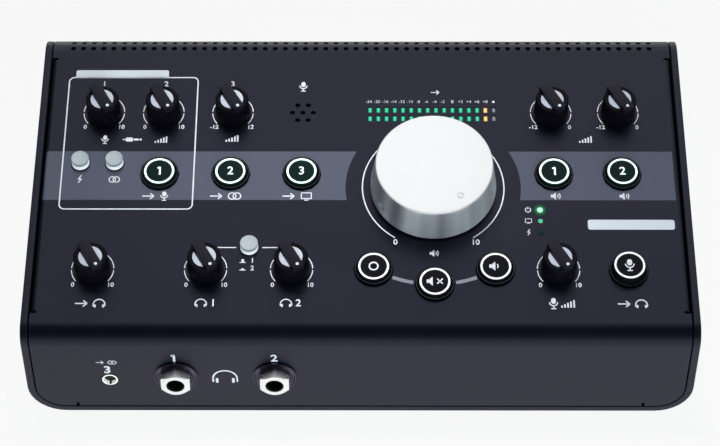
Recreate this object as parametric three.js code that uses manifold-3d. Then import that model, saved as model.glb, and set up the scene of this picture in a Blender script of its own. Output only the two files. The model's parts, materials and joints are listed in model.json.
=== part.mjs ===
import * as THREE from 'three';
import { mergeVertices } from 'three/addons/utils/BufferGeometryUtils.js';
import Module from 'manifold-3d';

// Studio monitor controller: a sloping desk box with a big volume knob.
// All sizes are millimetres; x runs across, y from the front to the back, z up.
// The sloping top has its own frame: x across, y up the slope from the corner line
// where the front and the top would meet, z straight out of the panel.

const wasm = await Module();
wasm.setup();

// Housing
const housingWidth = 264;
const frontHeight = 46.3;
const topSlope = THREE.MathUtils.degToRad(11.25);
const topLength = 136.05;
const noseRadius = 7.75;
const rollRadius = 9.75;
const shellWall = 3;
const trayCornerRadius = 14.5;
const coverThickness = 1.5;
const seamGap = 0.5;
const lipLength = 4;
const footHeight = 3;
const footRadius = 7;
const footInset = 22;
const footSides = 12;
const footFlare = 1;

// Clearances
const fitGap = 0.3;
const shaftPlay = 0.3;
const overrun = 2;
const mergeTolerance = 0.0001;

// Vents in the rear roll
const ventRows = 3;
const ventColumns = 58;
const ventPitch = 4.22;
const ventRadius = 1.2;
const ventFacet = 2.6;
const ventSides = 6;

// Side flanges of the cover and the reliefs at their ends
const bendRadius = 2;
const bendStrip = 4;
const bendSteps = 5;
const sideFlangeDepth = 9;
const sideFlangeStart = 10.1;
const sideFlangeRearGap = 3.65;
const reliefWidth = 1.2;
const sideReliefDepth = 2.6;
const footFlangeInset = 15.1;
const footFlangeDepth = 8;
const footReliefHeight = 1.9;

// Places across the box, as shares of half its width
const acrossShares = {
  outer: 0.79773,
  gainStep: 0.18485,
  source: 0.39773,
  sourceStep: 0.21705,
  speaker: 0.58939,
  volume: 0.22045,
  phones: 0.33333,
  phonesStep: 0.12803,
  pushPair: 0.80644,
  pushStep: 0.05227,
  status: 0.54205,
  mic: 0.1803,
  mini: 0.74848,
  jackLeft: 0.55,
  jackRight: 0.2553,
  comboOuter: -0.74242,
  comboInner: -0.5,
  pairIn: -0.28788,
  pairB: -0.13636,
  pairA: 0.01515,
  usb: 0.22727,
  inlet: 0.4697,
  switch: 0.74242,
};

// Places up the slope, as shares of its length
const upShares = {
  upper: 0.76957,
  button: 0.54833,
  lower: 0.22014,
  talkback: 0.21573,
  volume: 0.50312,
  muteArc: 0.3326,
  phonesPush: 0.29364,
  push: 0.58728,
  meter: 0.76442,
  status: 0.38442,
};
const muteArcTurn = THREE.MathUtils.degToRad(31.95);

// Small knobs
const knobLift = 0.6;
const knobFootRadius = 7.1;
const knobBand = 1.2;
const knobTopRadius = 6.65;
const knobShoulder = 10;
const knobHeight = 11.9;
const knobBarWidth = 4.6;
const knobBarReach = 6.1;
const knobSides = 16;
const knobTurn = THREE.MathUtils.degToRad(150);

// Volume knob
const volumeLift = 1.2;
const volumeHeight = 17;
const volumeFootRadius = 25.3;
const volumeTopRadius = 23.4;
const volumeEdge = 0.7;
const volumeHollowRadius = 20;
const volumeHollowHeight = 8;
const volumeHubRadius = 7;
const volumeDimpleRadius = 1.6;
const volumeDimpleDepth = 0.6;
const volumeDimpleReach = 17.8;
const grubRadius = 1.3;
const grubTurn = THREE.MathUtils.degToRad(-123);
const volumeSides = 40;
const volumeTurn = THREE.MathUtils.degToRad(145);

// Shafts and potentiometers
const shaftRadius = 3;
const shaftSides = 8;
const shaftSeat = 7;
const shaftFoot = 3;
const panelHolePlay = 0.5;
const potWidth = 9.6;
const potDepth = 10.4;
const volumePotRadius = 8.4;
const volumeNeckRadius = 4.6;

// Round buttons
const buttonRadius = 6.5;
const buttonTop = 2.4;
const talkbackTop = 4.6;
const buttonTravel = 1.2;
const talkbackTravel = 2.4;
const buttonSides = 12;
const bezelRadius = 7.7;
const bezelTop = 1;
const bezelPlate = 1.2;
const bezelPlateHalf = 9.2;
const bezelBar = 7;

// Silver push caps
const pushTop = 3.8;
const pushRadius = 3.55;
const pushFlange = 0.15;
const pushFlangeTop = 1.9;
const pushSkirt = 1.2;
const pushTravel = 2;
const pushStemRadius = 1.5;
const pushSides = 12;
const pushHolePlay = 0.4;

// Board under the top
const boardDepth = 9.5;
const boardThickness = 1.6;
const boardInset = 9.5;
const boardStart = 14;
const boardRearGap = 14.05;
const switchSize = 6;
const switchHeight = 3.6;
const latchSize = 8;
const latchHeight = 4;

// Meter, status lights and talkback microphone
const meterColumns = 16;
const meterRows = 2;
const meterPitch = 3.38;
const meterRowPitch = 4.2;
const meterWindowWidth = 1.9;
const meterWindowHeight = 2.9;
const guideMargin = 2;
const statusPitch = 5.3;
const statusCount = 3;
const statusRadius = 1;
const statusHolePlay = 0.3;
const statusProud = 0.2;
const statusSides = 8;
const guideThickness = 4;
const micHolePitch = 4.3;
const micHoleRadius = 1.15;
const micHoleCount = 6;
const micRadius = 4.85;

// Sockets on the front
const jackDrop = 24.4;
const miniDrop = 26.6;
const jackBore = 3.45;
const jackBushing = 4.7;
const jackBushingPlay = 0.5;
const jackWasherRadius = 8.375;
const jackWasher = 0.8;
const jackNutFlats = 11.6;
const nutSides = 6;
const jackNut = 4.1;
const jackNutRim = 5.95;
const jackNutChamfer = 0.5;
const jackBodyWidth = 14;
const jackBodyDepth = 24;
const jackBoreDepth = 22;
const jackSides = 12;
const miniBore = 1.85;
const miniRing = 3.3;
const miniRingProud = 0.5;
const miniBodyWidth = 8;
const miniBodyHeight = 6;
const miniBodyDepth = 13;
const miniBoreDepth = 12;

// Back of the box
const rearPlate = 1.5;
const connectorStandoff = 5;
const connectorBoard = 1.6;
const connectorSideGap = 10.5;
const connectorReach = 44;
const connectorInset = 2;
const standoffRadius = 3;
const standoffSides = 6;
const standoffInset = 18;
const comboFlangeWidth = 26;
const comboFlangeHeight = 31;
const comboFlange = 2;
const comboCorner = 4;
const comboCornerSteps = 3;
const comboBarrel = 11.9;
const comboDepth = 22;
const comboMouth = 10.2;
const comboMouthDepth = 5;
const comboPinRadius = 1.6;
const comboPinReach = 6.4;
const comboPinDepth = 9;
const comboPinSides = 6;
const comboBoreDepth = 20;
const comboUp = 26;
const rearJackPlay = 0.5;
const comboSides = 14;
const pairWidth = 16;
const pairPitch = 16;
const pairDepth = 22;
const pairNut = 2;
const pairNutFlats = 12;
const usbWidth = 12;
const usbHeight = 11;
const usbDepth = 16;
const usbMouthWidth = 8.6;
const usbMouthHeight = 7.8;
const usbMouthDepth = 9;
const usbTongueWidth = 5.6;
const usbTongueHeight = 3.2;
const inletWidth = 9;
const inletHeight = 11;
const inletDepth = 14;
const inletBore = 3;
const inletPin = 1;
const inletBoreDepth = 10;
const switchFlangeWidth = 21;
const switchFlangeHeight = 15;
const switchFlange = 2;
const switchBodyWidth = 19;
const switchBodyHeight = 12.8;
const switchBodyDepth = 14;
const rockerWidth = 15;
const rockerHeight = 9.6;
const rockerProud = 2.6;
const rockerTilt = THREE.MathUtils.degToRad(10);
const rockerPlay = 0.4;
const rockerPivotDepth = 1.5;
const rockerSteps = 6;

// Heights and lines worked out from the sizes above
const noseTurn = Math.PI / 2 - topSlope;
const rollTurn = Math.PI / 2 + topSlope;
const noseTangent = noseRadius * Math.tan(noseTurn / 2);
const slopeLine = new THREE.Vector2(Math.cos(topSlope), Math.sin(topSlope));
const slopeNormal = new THREE.Vector2(-Math.sin(topSlope), Math.cos(topSlope));
const cornerPoint = new THREE.Vector2(0, frontHeight);
const noseCentre = new THREE.Vector2(noseRadius, frontHeight - noseTangent);
const rollCentre = cornerPoint.clone()
  .addScaledVector(slopeLine, topLength)
  .addScaledVector(slopeNormal, -rollRadius);
const housingDepth = rollCentre.x + rollRadius;
const halfWidth = housingWidth / 2;
const coverHalfWidth = halfWidth - shellWall - seamGap;
const coverFoot = shellWall + seamGap;
const sideFlangeEnd = topLength - sideFlangeRearGap;
const footFlangeHalf = coverHalfWidth - footFlangeInset;
const boardHalfWidth = coverHalfWidth - boardInset;
const boardEnd = topLength - boardRearGap;
const connectorHalfWidth = coverHalfWidth - connectorSideGap;
const coverUnder = -coverThickness;
const seatUnder = coverUnder - fitGap;
const boardTop = -boardDepth;
const guideFoot = boardTop + fitGap;
const potTop = coverUnder - shaftFoot;
const switchTop = boardTop + switchHeight;
const latchTop = boardTop + latchHeight;
const rearFace = housingDepth - coverThickness - fitGap;
const rearInner = rearFace - rearPlate;
const connectorTop = shellWall + connectorStandoff + connectorBoard;
const socketFoot = connectorTop + fitGap;
const jackUp = frontHeight - jackDrop;
const miniUp = frontHeight - miniDrop;
const frontInner = coverThickness + fitGap;
const outerColumn = acrossShares.outer * halfWidth;
const sourceColumn = acrossShares.source * halfWidth;
const sourceStep = acrossShares.sourceStep * halfWidth;
const speakerColumn = acrossShares.speaker * halfWidth;
const volumeAcross = acrossShares.volume * halfWidth;
const phonesAcross = acrossShares.phones * halfWidth;
const phonesStep = acrossShares.phonesStep * halfWidth;
const pushPairAcross = acrossShares.pushPair * halfWidth;
const pushStep = acrossShares.pushStep * halfWidth;
const statusAcross = acrossShares.status * halfWidth;
const micAcross = acrossShares.mic * halfWidth;
const miniAcross = acrossShares.mini * halfWidth;
const jackPlaces = [-acrossShares.jackLeft * halfWidth, -acrossShares.jackRight * halfWidth];
const comboPlaces = [acrossShares.comboOuter * halfWidth, acrossShares.comboInner * halfWidth];
const pairInAcross = acrossShares.pairIn * halfWidth;
const pairBAcross = acrossShares.pairB * halfWidth;
const pairAAcross = acrossShares.pairA * halfWidth;
const usbAcross = acrossShares.usb * halfWidth;
const inletAcross = acrossShares.inlet * halfWidth;
const switchAcross = acrossShares.switch * halfWidth;
const upperRow = upShares.upper * topLength;
const buttonRow = upShares.button * topLength;
const lowerRow = upShares.lower * topLength;
const talkbackRow = upShares.talkback * topLength;
const volumeUp = upShares.volume * topLength;
const phonesPushUp = upShares.phonesPush * topLength;
const pushRow = upShares.push * topLength;
const meterUp = upShares.meter * topLength;
const statusUp = upShares.status * topLength;
const muteArcRadius = upShares.muteArc * topLength;
const muteOffset = muteArcRadius * Math.sin(muteArcTurn);
const muteDrop = muteArcRadius * Math.cos(muteArcTurn);

// What sits where on the top
const smallKnobs = [
  { name: 'gain_knob_1', x: -outerColumn, y: upperRow },
  { name: 'gain_knob_2', x: acrossShares.gainStep * halfWidth - outerColumn, y: upperRow },
  { name: 'input_trim_knob', x: -sourceColumn, y: upperRow },
  { name: 'output_trim_knob_a', x: speakerColumn, y: upperRow },
  { name: 'output_trim_knob_b', x: outerColumn, y: upperRow },
  { name: 'direct_knob', x: -outerColumn, y: lowerRow },
  { name: 'phones_knob_1', x: -phonesAcross - phonesStep, y: lowerRow },
  { name: 'phones_knob_2', x: -phonesAcross + phonesStep, y: lowerRow },
  { name: 'talkback_knob', x: speakerColumn, y: lowerRow },
];
const sourceButtons = [
  { name: 'source_button_1', x: -sourceColumn - sourceStep, y: buttonRow },
  { name: 'source_button_2', x: -sourceColumn, y: buttonRow },
  { name: 'source_button_3', x: -sourceColumn + sourceStep, y: buttonRow },
];
const volumeButtons = [
  { name: 'mono_button', x: volumeAcross - muteOffset, y: volumeUp - muteDrop },
  { name: 'mute_button', x: volumeAcross, y: volumeUp - muteArcRadius },
  { name: 'dim_button', x: volumeAcross + muteOffset, y: volumeUp - muteDrop },
];
const speakerButtons = [
  { name: 'speaker_button_a', x: speakerColumn, y: buttonRow },
  { name: 'speaker_button_b', x: outerColumn, y: buttonRow },
  { name: 'talkback_button', x: outerColumn, y: talkbackRow, top: talkbackTop, travel: talkbackTravel },
];
const roundButtons = [...sourceButtons, ...volumeButtons, ...speakerButtons];
const pushCaps = [
  { name: 'phantom_push_button', x: -pushPairAcross - pushStep, y: pushRow },
  { name: 'pan_push_button', x: -pushPairAcross + pushStep, y: pushRow },
  { name: 'phones_push_button', x: -phonesAcross, y: phonesPushUp },
];
const volumePlace = { x: volumeAcross, y: volumeUp };

// Solids

function solidOf(geometry) {
  geometry.deleteAttribute('normal');
  geometry.deleteAttribute('uv');
  const merged = mergeVertices(geometry, mergeTolerance);
  const corners = merged.index.array;
  const kept = [];
  for (let i = 0; i < corners.length; i += 3) {
    const [a, b, c] = corners.slice(i, i + 3);
    if (a !== b && b !== c && c !== a) kept.push(a, b, c);
  }
  return new wasm.Manifold(new wasm.Mesh({
    numProp: 3,
    vertProperties: merged.attributes.position.array,
    triVerts: new Uint32Array(kept),
  }));
}

function geometryOf(solid) {
  const { vertProperties, triVerts } = solid.getMesh();
  const geometry = new THREE.BufferGeometry();
  geometry.setAttribute('position', new THREE.BufferAttribute(vertProperties, 3));
  geometry.setIndex(new THREE.BufferAttribute(triVerts, 1));
  geometry.computeVertexNormals();
  return geometry;
}

function joined(solids) {
  return solids.reduce((sum, solid) => sum.add(solid));
}

// A box between two opposite corners
function block(low, high) {
  const size = high.map((value, axis) => value - low[axis]);
  const middle = high.map((value, axis) => (value + low[axis]) / 2);
  return solidOf(new THREE.BoxGeometry(...size).translate(...middle));
}

// A turned solid on a z axis at x, y; the profile lists [radius, height] upwards
function turned(profile, sides, x = 0, y = 0) {
  const points = profile.map(([radius, height]) => new THREE.Vector2(radius, height));
  return solidOf(new THREE.LatheGeometry(points, sides).rotateX(Math.PI / 2).translate(x, y, 0));
}

// A turned solid on a y axis at x, z; the profile lists [radius, y] towards the back
function turnedBack(profile, sides, x, z) {
  const points = profile.map(([radius, y]) => new THREE.Vector2(radius, y));
  return solidOf(new THREE.LatheGeometry(points, sides).translate(x, 0, z));
}

function pin(radius, low, high, sides, x = 0, y = 0) {
  return turned([[0, low], [radius, low], [radius, high], [0, high]], sides, x, y);
}

function pinBack(radius, from, to, sides, x, z) {
  return turnedBack([[0, from], [radius, from], [radius, to], [0, to]], sides, x, z);
}

function extruded(points, depth) {
  return new THREE.ExtrudeGeometry(new THREE.Shape(points), { depth, bevelEnabled: false });
}

// A side view in y, z, as wide as width and centred on x = 0
function prismAcross(points, width) {
  const turn = new THREE.Matrix4().makeBasis(
    new THREE.Vector3(0, 1, 0),
    new THREE.Vector3(0, 0, 1),
    new THREE.Vector3(1, 0, 0),
  );
  return extruded(points, width).translate(0, 0, -width / 2).applyMatrix4(turn);
}

// A front view in x, z, running from one y to another
function prismBack(points, from, to) {
  return extruded(points, to - from).rotateX(Math.PI / 2).translate(0, to, 0);
}

function arc(centre, radius, from, to, steps) {
  return Array.from({ length: steps + 1 }, (_, i) => {
    const angle = from + (to - from) * (i / steps);
    return new THREE.Vector2(centre.x + radius * Math.cos(angle), centre.y + radius * Math.sin(angle));
  });
}

// Outline of the housing

const noseSteps = 8;
const rollTailSteps = 4;
const cornerSteps = 8;

// Turns from the slope's normal to each edge of the roll's facets; every row of vents gets a facet
function rollTurns() {
  const half = Math.asin(ventFacet / 2 / rollRadius);
  const pitch = ventPitch / rollRadius;
  const turns = [];
  for (let row = 0; row < ventRows; row += 1) {
    turns.push(row * pitch, row * pitch + 2 * half);
  }
  const last = turns[turns.length - 1];
  for (let step = 1; step <= rollTailSteps; step += 1) {
    turns.push(last + (rollTurn - last) * (step / rollTailSteps));
  }
  return turns;
}

// Side outline from the foot of the front, over the nose, slope and rear roll, to the back
function housingPath(inset, frontFoot, rearFoot) {
  const nose = arc(noseCentre, noseRadius - inset, Math.PI, Math.PI - noseTurn, noseSteps);
  const roll = rollTurns().map((turn) => {
    const angle = rollTurn - turn;
    return new THREE.Vector2(
      rollCentre.x + (rollRadius - inset) * Math.cos(angle),
      rollCentre.y + (rollRadius - inset) * Math.sin(angle),
    );
  });
  return [
    new THREE.Vector2(inset, frontFoot),
    ...nose,
    ...roll,
    new THREE.Vector2(housingDepth - inset, rearFoot),
  ];
}

// Front outline with rounded lower corners
function trayOutline(reach, foot, radius, top) {
  const left = new THREE.Vector2(radius - reach, foot + radius);
  const right = new THREE.Vector2(reach - radius, foot + radius);
  return [
    new THREE.Vector2(-reach, top),
    ...arc(left, radius, Math.PI, 3 * Math.PI / 2, cornerSteps),
    ...arc(right, radius, -Math.PI / 2, 0, cornerSteps),
    new THREE.Vector2(reach, top),
  ];
}

const trayTop = 2 * frontHeight;
const innerCorner = trayCornerRadius - shellWall;
const coverCorner = innerCorner - seamGap;

function baseChassis() {
  const side = solidOf(prismAcross(housingPath(0, 0, 0), housingWidth));
  const outer = trayOutline(halfWidth, 0, trayCornerRadius, trayTop);
  const inner = trayOutline(halfWidth - shellWall, shellWall, innerCorner, trayTop);
  const round = solidOf(prismBack(outer, -overrun, housingDepth + overrun));
  const pocket = solidOf(prismBack(inner, -overrun, housingDepth + overrun));
  return side.intersect(round).subtract(pocket);
}

// The cover is made in the frame of the sloping top
function toTop(geometry) {
  return geometry.translate(0, 0, -frontHeight).rotateX(-topSlope);
}

function coverSheet() {
  const outer = housingPath(0, 0, rollCentre.y - lipLength);
  const inner = housingPath(coverThickness, 0, rollCentre.y - lipLength);
  return solidOf(toTop(prismAcross([...outer, ...inner.reverse()], 2 * coverHalfWidth)));
}

// Bent-down side flange, as a section in x and z along the slope
function sideFlange(side) {
  const edge = coverHalfWidth;
  const bend = arc(new THREE.Vector2(edge - bendRadius, -bendRadius), bendRadius, Math.PI / 2, 0, bendSteps);
  const section = [
    new THREE.Vector2(edge - bendStrip - overrun, 0),
    ...bend,
    new THREE.Vector2(edge, -sideFlangeDepth),
    new THREE.Vector2(edge - coverThickness, -sideFlangeDepth),
    new THREE.Vector2(edge - coverThickness, -coverThickness),
    new THREE.Vector2(edge - bendStrip - overrun, -coverThickness),
  ].map((point) => new THREE.Vector2(side * point.x, point.y));
  return solidOf(prismBack(section, sideFlangeStart + reliefWidth, sideFlangeEnd - reliefWidth));
}

function sideReliefs(side) {
  const inner = side * (coverHalfWidth - sideReliefDepth);
  const strip = side * (coverHalfWidth - bendStrip);
  const outer = side * (coverHalfWidth + overrun);
  const cut = (x, from, to) => block(
    [Math.min(x, outer), from, -coverThickness - overrun],
    [Math.max(x, outer), to, overrun],
  );
  return joined([
    cut(inner, sideFlangeStart, sideFlangeStart + reliefWidth),
    cut(strip, sideFlangeStart + reliefWidth, sideFlangeEnd - reliefWidth),
    cut(inner, sideFlangeEnd - reliefWidth, sideFlangeEnd),
  ]);
}

// Flange turned in at the foot of the front, with a relief at each end
function footFlange() {
  const half = footFlangeHalf - reliefWidth;
  const geometry = new THREE.BoxGeometry(2 * half, footFlangeDepth, coverThickness + overrun)
    .translate(0, footFlangeDepth / 2, coverFoot + (coverThickness - overrun) / 2);
  return solidOf(toTop(geometry));
}

function footReliefs() {
  return joined([-1, 1].map((side) => {
    const geometry = new THREE.BoxGeometry(reliefWidth, coverThickness + 2 * overrun, 2 * footReliefHeight)
      .translate(side * (footFlangeHalf - reliefWidth / 2), coverThickness / 2, coverFoot);
    return solidOf(toTop(geometry));
  }));
}

// Rows of round vents, each through its own facet of the rear roll
function vents() {
  const half = Math.asin(ventFacet / 2 / rollRadius);
  const facetDistance = rollRadius * Math.cos(half);
  const cuts = [];
  for (let row = 0; row < ventRows; row += 1) {
    const turn = half + row * (ventPitch / rollRadius);
    for (let column = 0; column < ventColumns; column += 1) {
      const across = (column - (ventColumns - 1) / 2) * ventPitch;
      const length = 2 * overrun + coverThickness;
      const geometry = new THREE.CylinderGeometry(ventRadius, ventRadius, length, ventSides)
        .rotateY(Math.PI / ventSides)
        .translate(0, facetDistance - coverThickness / 2, 0)
        .rotateX(Math.PI / 2 - turn)
        .translate(across, topLength, -rollRadius);
      cuts.push(solidOf(geometry));
    }
  }
  return joined(cuts);
}

function meterWindows() {
  const cuts = [];
  for (let row = 0; row < meterRows; row += 1) {
    const y = meterUp + (row - (meterRows - 1) / 2) * meterRowPitch;
    for (let column = 0; column < meterColumns; column += 1) {
      const x = volumeAcross + (column - (meterColumns - 1) / 2) * meterPitch;
      cuts.push(block(
        [x - meterWindowWidth / 2, y - meterWindowHeight / 2, coverUnder - overrun],
        [x + meterWindowWidth / 2, y + meterWindowHeight / 2, overrun],
      ));
    }
  }
  return joined(cuts);
}

function statusPlaces() {
  return Array.from({ length: statusCount }, (_, i) => ({
    x: statusAcross,
    y: statusUp + (i - (statusCount - 1) / 2) * statusPitch,
  }));
}

function micHoles() {
  const cut = (x, y) => pin(micHoleRadius, coverUnder - overrun, overrun, ventSides, x, y);
  const ring = Array.from({ length: micHoleCount }, (_, i) => {
    const angle = i * 2 * Math.PI / micHoleCount;
    return cut(micHolePitch * Math.cos(angle) - micAcross, micHolePitch * Math.sin(angle) + upperRow);
  });
  return joined([cut(-micAcross, upperRow), ...ring]);
}

function topHoles() {
  const cut = (radius, sides) => ({ x, y }) => pin(radius, coverUnder - overrun, overrun, sides, x, y);
  return joined([
    ...smallKnobs.map(cut(shaftRadius + panelHolePlay, shaftSides)),
    ...[volumePlace].map(cut(volumeNeckRadius + panelHolePlay, shaftSides)),
    ...roundButtons.map(cut(bezelRadius + fitGap, buttonSides)),
    ...pushCaps.map(cut(pushRadius + pushFlange + pushHolePlay, pushSides)),
    ...statusPlaces().map(cut(statusRadius + statusHolePlay, statusSides)),
  ]);
}

function frontHoles() {
  const cut = (radius, x, z) => {
    const geometry = new THREE.CylinderGeometry(radius, radius, coverThickness + 2 * overrun, jackSides)
      .translate(x, coverThickness / 2, z);
    return solidOf(toTop(geometry));
  };
  return joined([
    cut(miniRing + jackBushingPlay, -miniAcross, miniUp),
    ...jackPlaces.map((x) => cut(jackBushing + jackBushingPlay, x, jackUp)),
  ]);
}

function topCover() {
  const frame = trayOutline(coverHalfWidth, coverFoot, coverCorner, trayTop);
  const opening = solidOf(toTop(prismBack(frame, -overrun, housingDepth + overrun)));
  const folded = coverSheet().add(footFlange()).intersect(opening);
  const flanged = [-1, 1].reduce(
    (cover, side) => cover.subtract(sideReliefs(side)).add(sideFlange(side)),
    folded,
  );
  return [footReliefs(), vents(), meterWindows(), micHoles(), topHoles(), frontHoles()]
    .reduce((cover, cut) => cover.subtract(cut), flanged);
}

function foot() {
  const profile = [[0, 0], [footRadius - footFlare, 0], [footRadius, footHeight], [0, footHeight]];
  return turned(profile, footSides);
}

// Controls on the top; each is made on its own axis, standing on the panel at z = 0

function shaftBore(depthFrom, top) {
  return pin(shaftRadius + shaftPlay, depthFrom, top, shaftSides);
}

function smallKnob() {
  const body = turned([
    [0, knobLift],
    [knobFootRadius, knobLift],
    [knobFootRadius, knobLift + knobBand],
    [knobTopRadius, knobShoulder],
    [0, knobShoulder],
  ], knobSides);
  const bar = block(
    [-knobBarWidth / 2, -knobBarReach, knobBand],
    [knobBarWidth / 2, knobBarReach, knobHeight],
  );
  const bore = shaftBore(knobLift - overrun, knobLift + shaftSeat);
  return body.add(bar).subtract(bore);
}

function volumeKnob() {
  const body = turned([
    [0, volumeLift],
    [volumeFootRadius - volumeEdge, volumeLift],
    [volumeFootRadius, volumeLift + volumeEdge],
    [volumeTopRadius, volumeHeight - volumeEdge],
    [volumeTopRadius - volumeEdge, volumeHeight],
    [0, volumeHeight],
  ], volumeSides);
  const hollow = turned([
    [0, volumeLift - overrun],
    [volumeHollowRadius, volumeLift - overrun],
    [volumeHollowRadius, volumeLift + volumeHollowHeight],
    [0, volumeLift + volumeHollowHeight],
  ], knobSides).subtract(pin(volumeHubRadius, volumeLift, volumeHeight, shaftSides));
  const bore = shaftBore(volumeLift - overrun, volumeLift + volumeHollowHeight);
  const dimple = turned([
    [0, volumeHeight - volumeDimpleDepth],
    [volumeDimpleRadius, volumeHeight],
    [volumeDimpleRadius, volumeHeight + overrun],
    [0, volumeHeight + overrun],
  ], jackSides, 0, volumeDimpleReach);
  const grub = new THREE.CylinderGeometry(grubRadius, grubRadius, volumeFootRadius, statusSides)
    .translate(0, volumeFootRadius / 2 + volumeHubRadius / 2, 0)
    .rotateZ(volumeTurn + grubTurn)
    .translate(0, 0, volumeLift + volumeHollowHeight / 2);
  return body.subtract(hollow).subtract(bore).subtract(dimple).subtract(solidOf(grub));
}

function smallShaft() {
  return pin(shaftRadius, potTop + fitGap, knobLift + shaftSeat - fitGap, shaftSides);
}

function volumeShaft() {
  return pin(shaftRadius, potTop + fitGap, volumeLift + volumeHollowHeight - fitGap, shaftSides);
}

function roundButton({ top = buttonTop, travel = buttonTravel }) {
  return pin(buttonRadius, switchTop + travel + fitGap, top, buttonSides);
}

function pushCap() {
  return turned([
    [0, latchTop + pushTravel + fitGap],
    [pushStemRadius, latchTop + pushTravel + fitGap],
    [pushStemRadius, -pushSkirt],
    [pushRadius + pushFlange, -pushSkirt],
    [pushRadius + pushFlange, pushFlangeTop],
    [pushRadius, pushFlangeTop],
    [pushRadius, pushTop],
    [0, pushTop],
  ], pushSides);
}

// Moulding under the cover, with a collar that comes up round each of its buttons
function buttonBezel(buttons) {
  const plateTop = seatUnder;
  const plateFoot = seatUnder - bezelPlate;
  const plates = buttons.map(({ x, y }) => block(
    [x - bezelPlateHalf, y - bezelPlateHalf, plateFoot],
    [x + bezelPlateHalf, y + bezelPlateHalf, plateTop],
  ));
  const bars = buttons.slice(1).map((button, i) => {
    const start = new THREE.Vector2(buttons[i].x, buttons[i].y);
    const run = new THREE.Vector2(button.x, button.y).sub(start);
    const geometry = new THREE.BoxGeometry(run.length(), bezelBar, bezelPlate)
      .rotateZ(run.angle())
      .translate(start.x + run.x / 2, start.y + run.y / 2, (plateTop + plateFoot) / 2);
    return solidOf(geometry);
  });
  const collars = buttons.map(({ x, y }) => pin(bezelRadius, plateFoot, bezelTop, buttonSides, x, y));
  const bores = buttons.map(({ x, y }) => {
    const radius = buttonRadius + fitGap;
    return pin(radius, plateFoot - overrun, bezelTop + overrun, buttonSides, x, y);
  });
  return joined([...plates, ...bars, ...collars]).subtract(joined(bores));
}

// Board with the small potentiometers, push switches and latching switches soldered on
function controlBoard() {
  const standing = (width, depth, height) => ({ x, y }) => block(
    [x - width / 2, y - depth / 2, boardTop - boardThickness / 2],
    [x + width / 2, y + depth / 2, height],
  );
  const plate = block(
    [-boardHalfWidth, boardStart, boardTop - boardThickness],
    [boardHalfWidth, boardEnd, boardTop],
  );
  return joined([
    plate,
    ...smallKnobs.map(standing(potWidth, potDepth, potTop)),
    ...roundButtons.map(standing(switchSize, switchSize, switchTop)),
    ...pushCaps.map(standing(latchSize, latchSize, latchTop)),
  ]);
}

function volumePot() {
  const shoulder = seatUnder;
  const body = turned([
    [0, guideFoot],
    [volumePotRadius, guideFoot],
    [volumePotRadius, shoulder],
    [volumeNeckRadius, shoulder],
    [volumeNeckRadius, volumeLift - fitGap],
    [0, volumeLift - fitGap],
  ], knobSides);
  return body.subtract(shaftBore(potTop, volumeLift));
}

function meterLightGuide() {
  const reach = meterColumns * meterPitch / 2 + guideMargin;
  const rise = meterRows * meterRowPitch / 2;
  return block(
    [volumeAcross - reach, meterUp - rise, guideFoot],
    [volumeAcross + reach, meterUp + rise, seatUnder],
  );
}

function statusLightGuide() {
  const half = statusPitch * statusCount / 2;
  const body = block(
    [statusAcross - guideThickness / 2, statusUp - half, guideFoot],
    [statusAcross + guideThickness / 2, statusUp + half, seatUnder],
  );
  const pins = statusPlaces().map(({ x, y }) => (
    pin(statusRadius, seatUnder - fitGap, statusProud, statusSides, x, y)
  ));
  return body.add(joined(pins));
}

function talkbackMic() {
  return pin(micRadius, guideFoot, seatUnder, knobSides, -micAcross, upperRow);
}

// Sockets on the front; y = 0 is the outside of the front panel

function hexNut(flats, from, to, x, z) {
  const corner = flats / Math.sqrt(3);
  return pinBack(corner, from, to, nutSides, x, z);
}

function headphoneJack(x) {
  const z = jackUp;
  const washerFront = -fitGap - jackWasher;
  const nutFront = washerFront - jackNut;
  const body = block(
    [x - jackBodyWidth / 2, frontInner, z - jackBodyWidth / 2],
    [x + jackBodyWidth / 2, jackBodyDepth, z + jackBodyWidth / 2],
  );
  const nut = hexNut(jackNutFlats, nutFront, washerFront + jackWasher / 2, x, z).intersect(turnedBack([
    [0, nutFront],
    [jackNutRim - jackNutChamfer, nutFront],
    [jackNutRim + jackNutChamfer, nutFront + jackNutChamfer],
    [jackNutRim + jackNutChamfer, 0],
    [0, 0],
  ], jackSides, x, z));
  const washer = pinBack(jackWasherRadius, washerFront, -fitGap, knobSides, x, z);
  const bushing = pinBack(jackBushing, washerFront, frontInner + fitGap, jackSides, x, z);
  const bore = pinBack(jackBore, nutFront - overrun, nutFront + jackBoreDepth, jackSides, x, z);
  return joined([body, nut, washer, bushing]).subtract(bore);
}

function miniJack() {
  const x = -miniAcross;
  const z = miniUp;
  const body = block(
    [x - miniBodyWidth / 2, frontInner, z - miniBodyHeight / 2],
    [x + miniBodyWidth / 2, miniBodyDepth, z + miniBodyHeight / 2],
  );
  const ring = pinBack(miniRing, -miniRingProud, frontInner + fitGap, jackSides, x, z);
  const bore = pinBack(miniBore, -miniRingProud - overrun, miniBoreDepth, statusSides, x, z);
  return body.add(ring).subtract(bore);
}

// Back of the box

function rearPanelHoles() {
  const from = rearInner - overrun;
  const to = rearFace + overrun;
  const square = (x, z, width, height) => block(
    [x - width / 2 - fitGap, from, z - height / 2 - fitGap],
    [x + width / 2 + fitGap, to, z + height / 2 + fitGap],
  );
  return joined([
    ...comboPlaces.map((x) => pinBack(comboBarrel + fitGap, from, to, comboSides, x, comboUp)),
    ...[pairInAcross, pairBAcross, pairAAcross].flatMap((x) => pairHeights().map((z) => (
      pinBack(jackBushing + rearJackPlay, from, to, shaftSides, x, z)
    ))),
    square(usbAcross, socketFoot + usbHeight / 2, usbWidth, usbHeight),
    square(inletAcross, socketFoot + inletHeight / 2, inletWidth, inletHeight),
    square(switchAcross, comboUp, switchBodyWidth, switchBodyHeight),
  ]);
}

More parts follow.
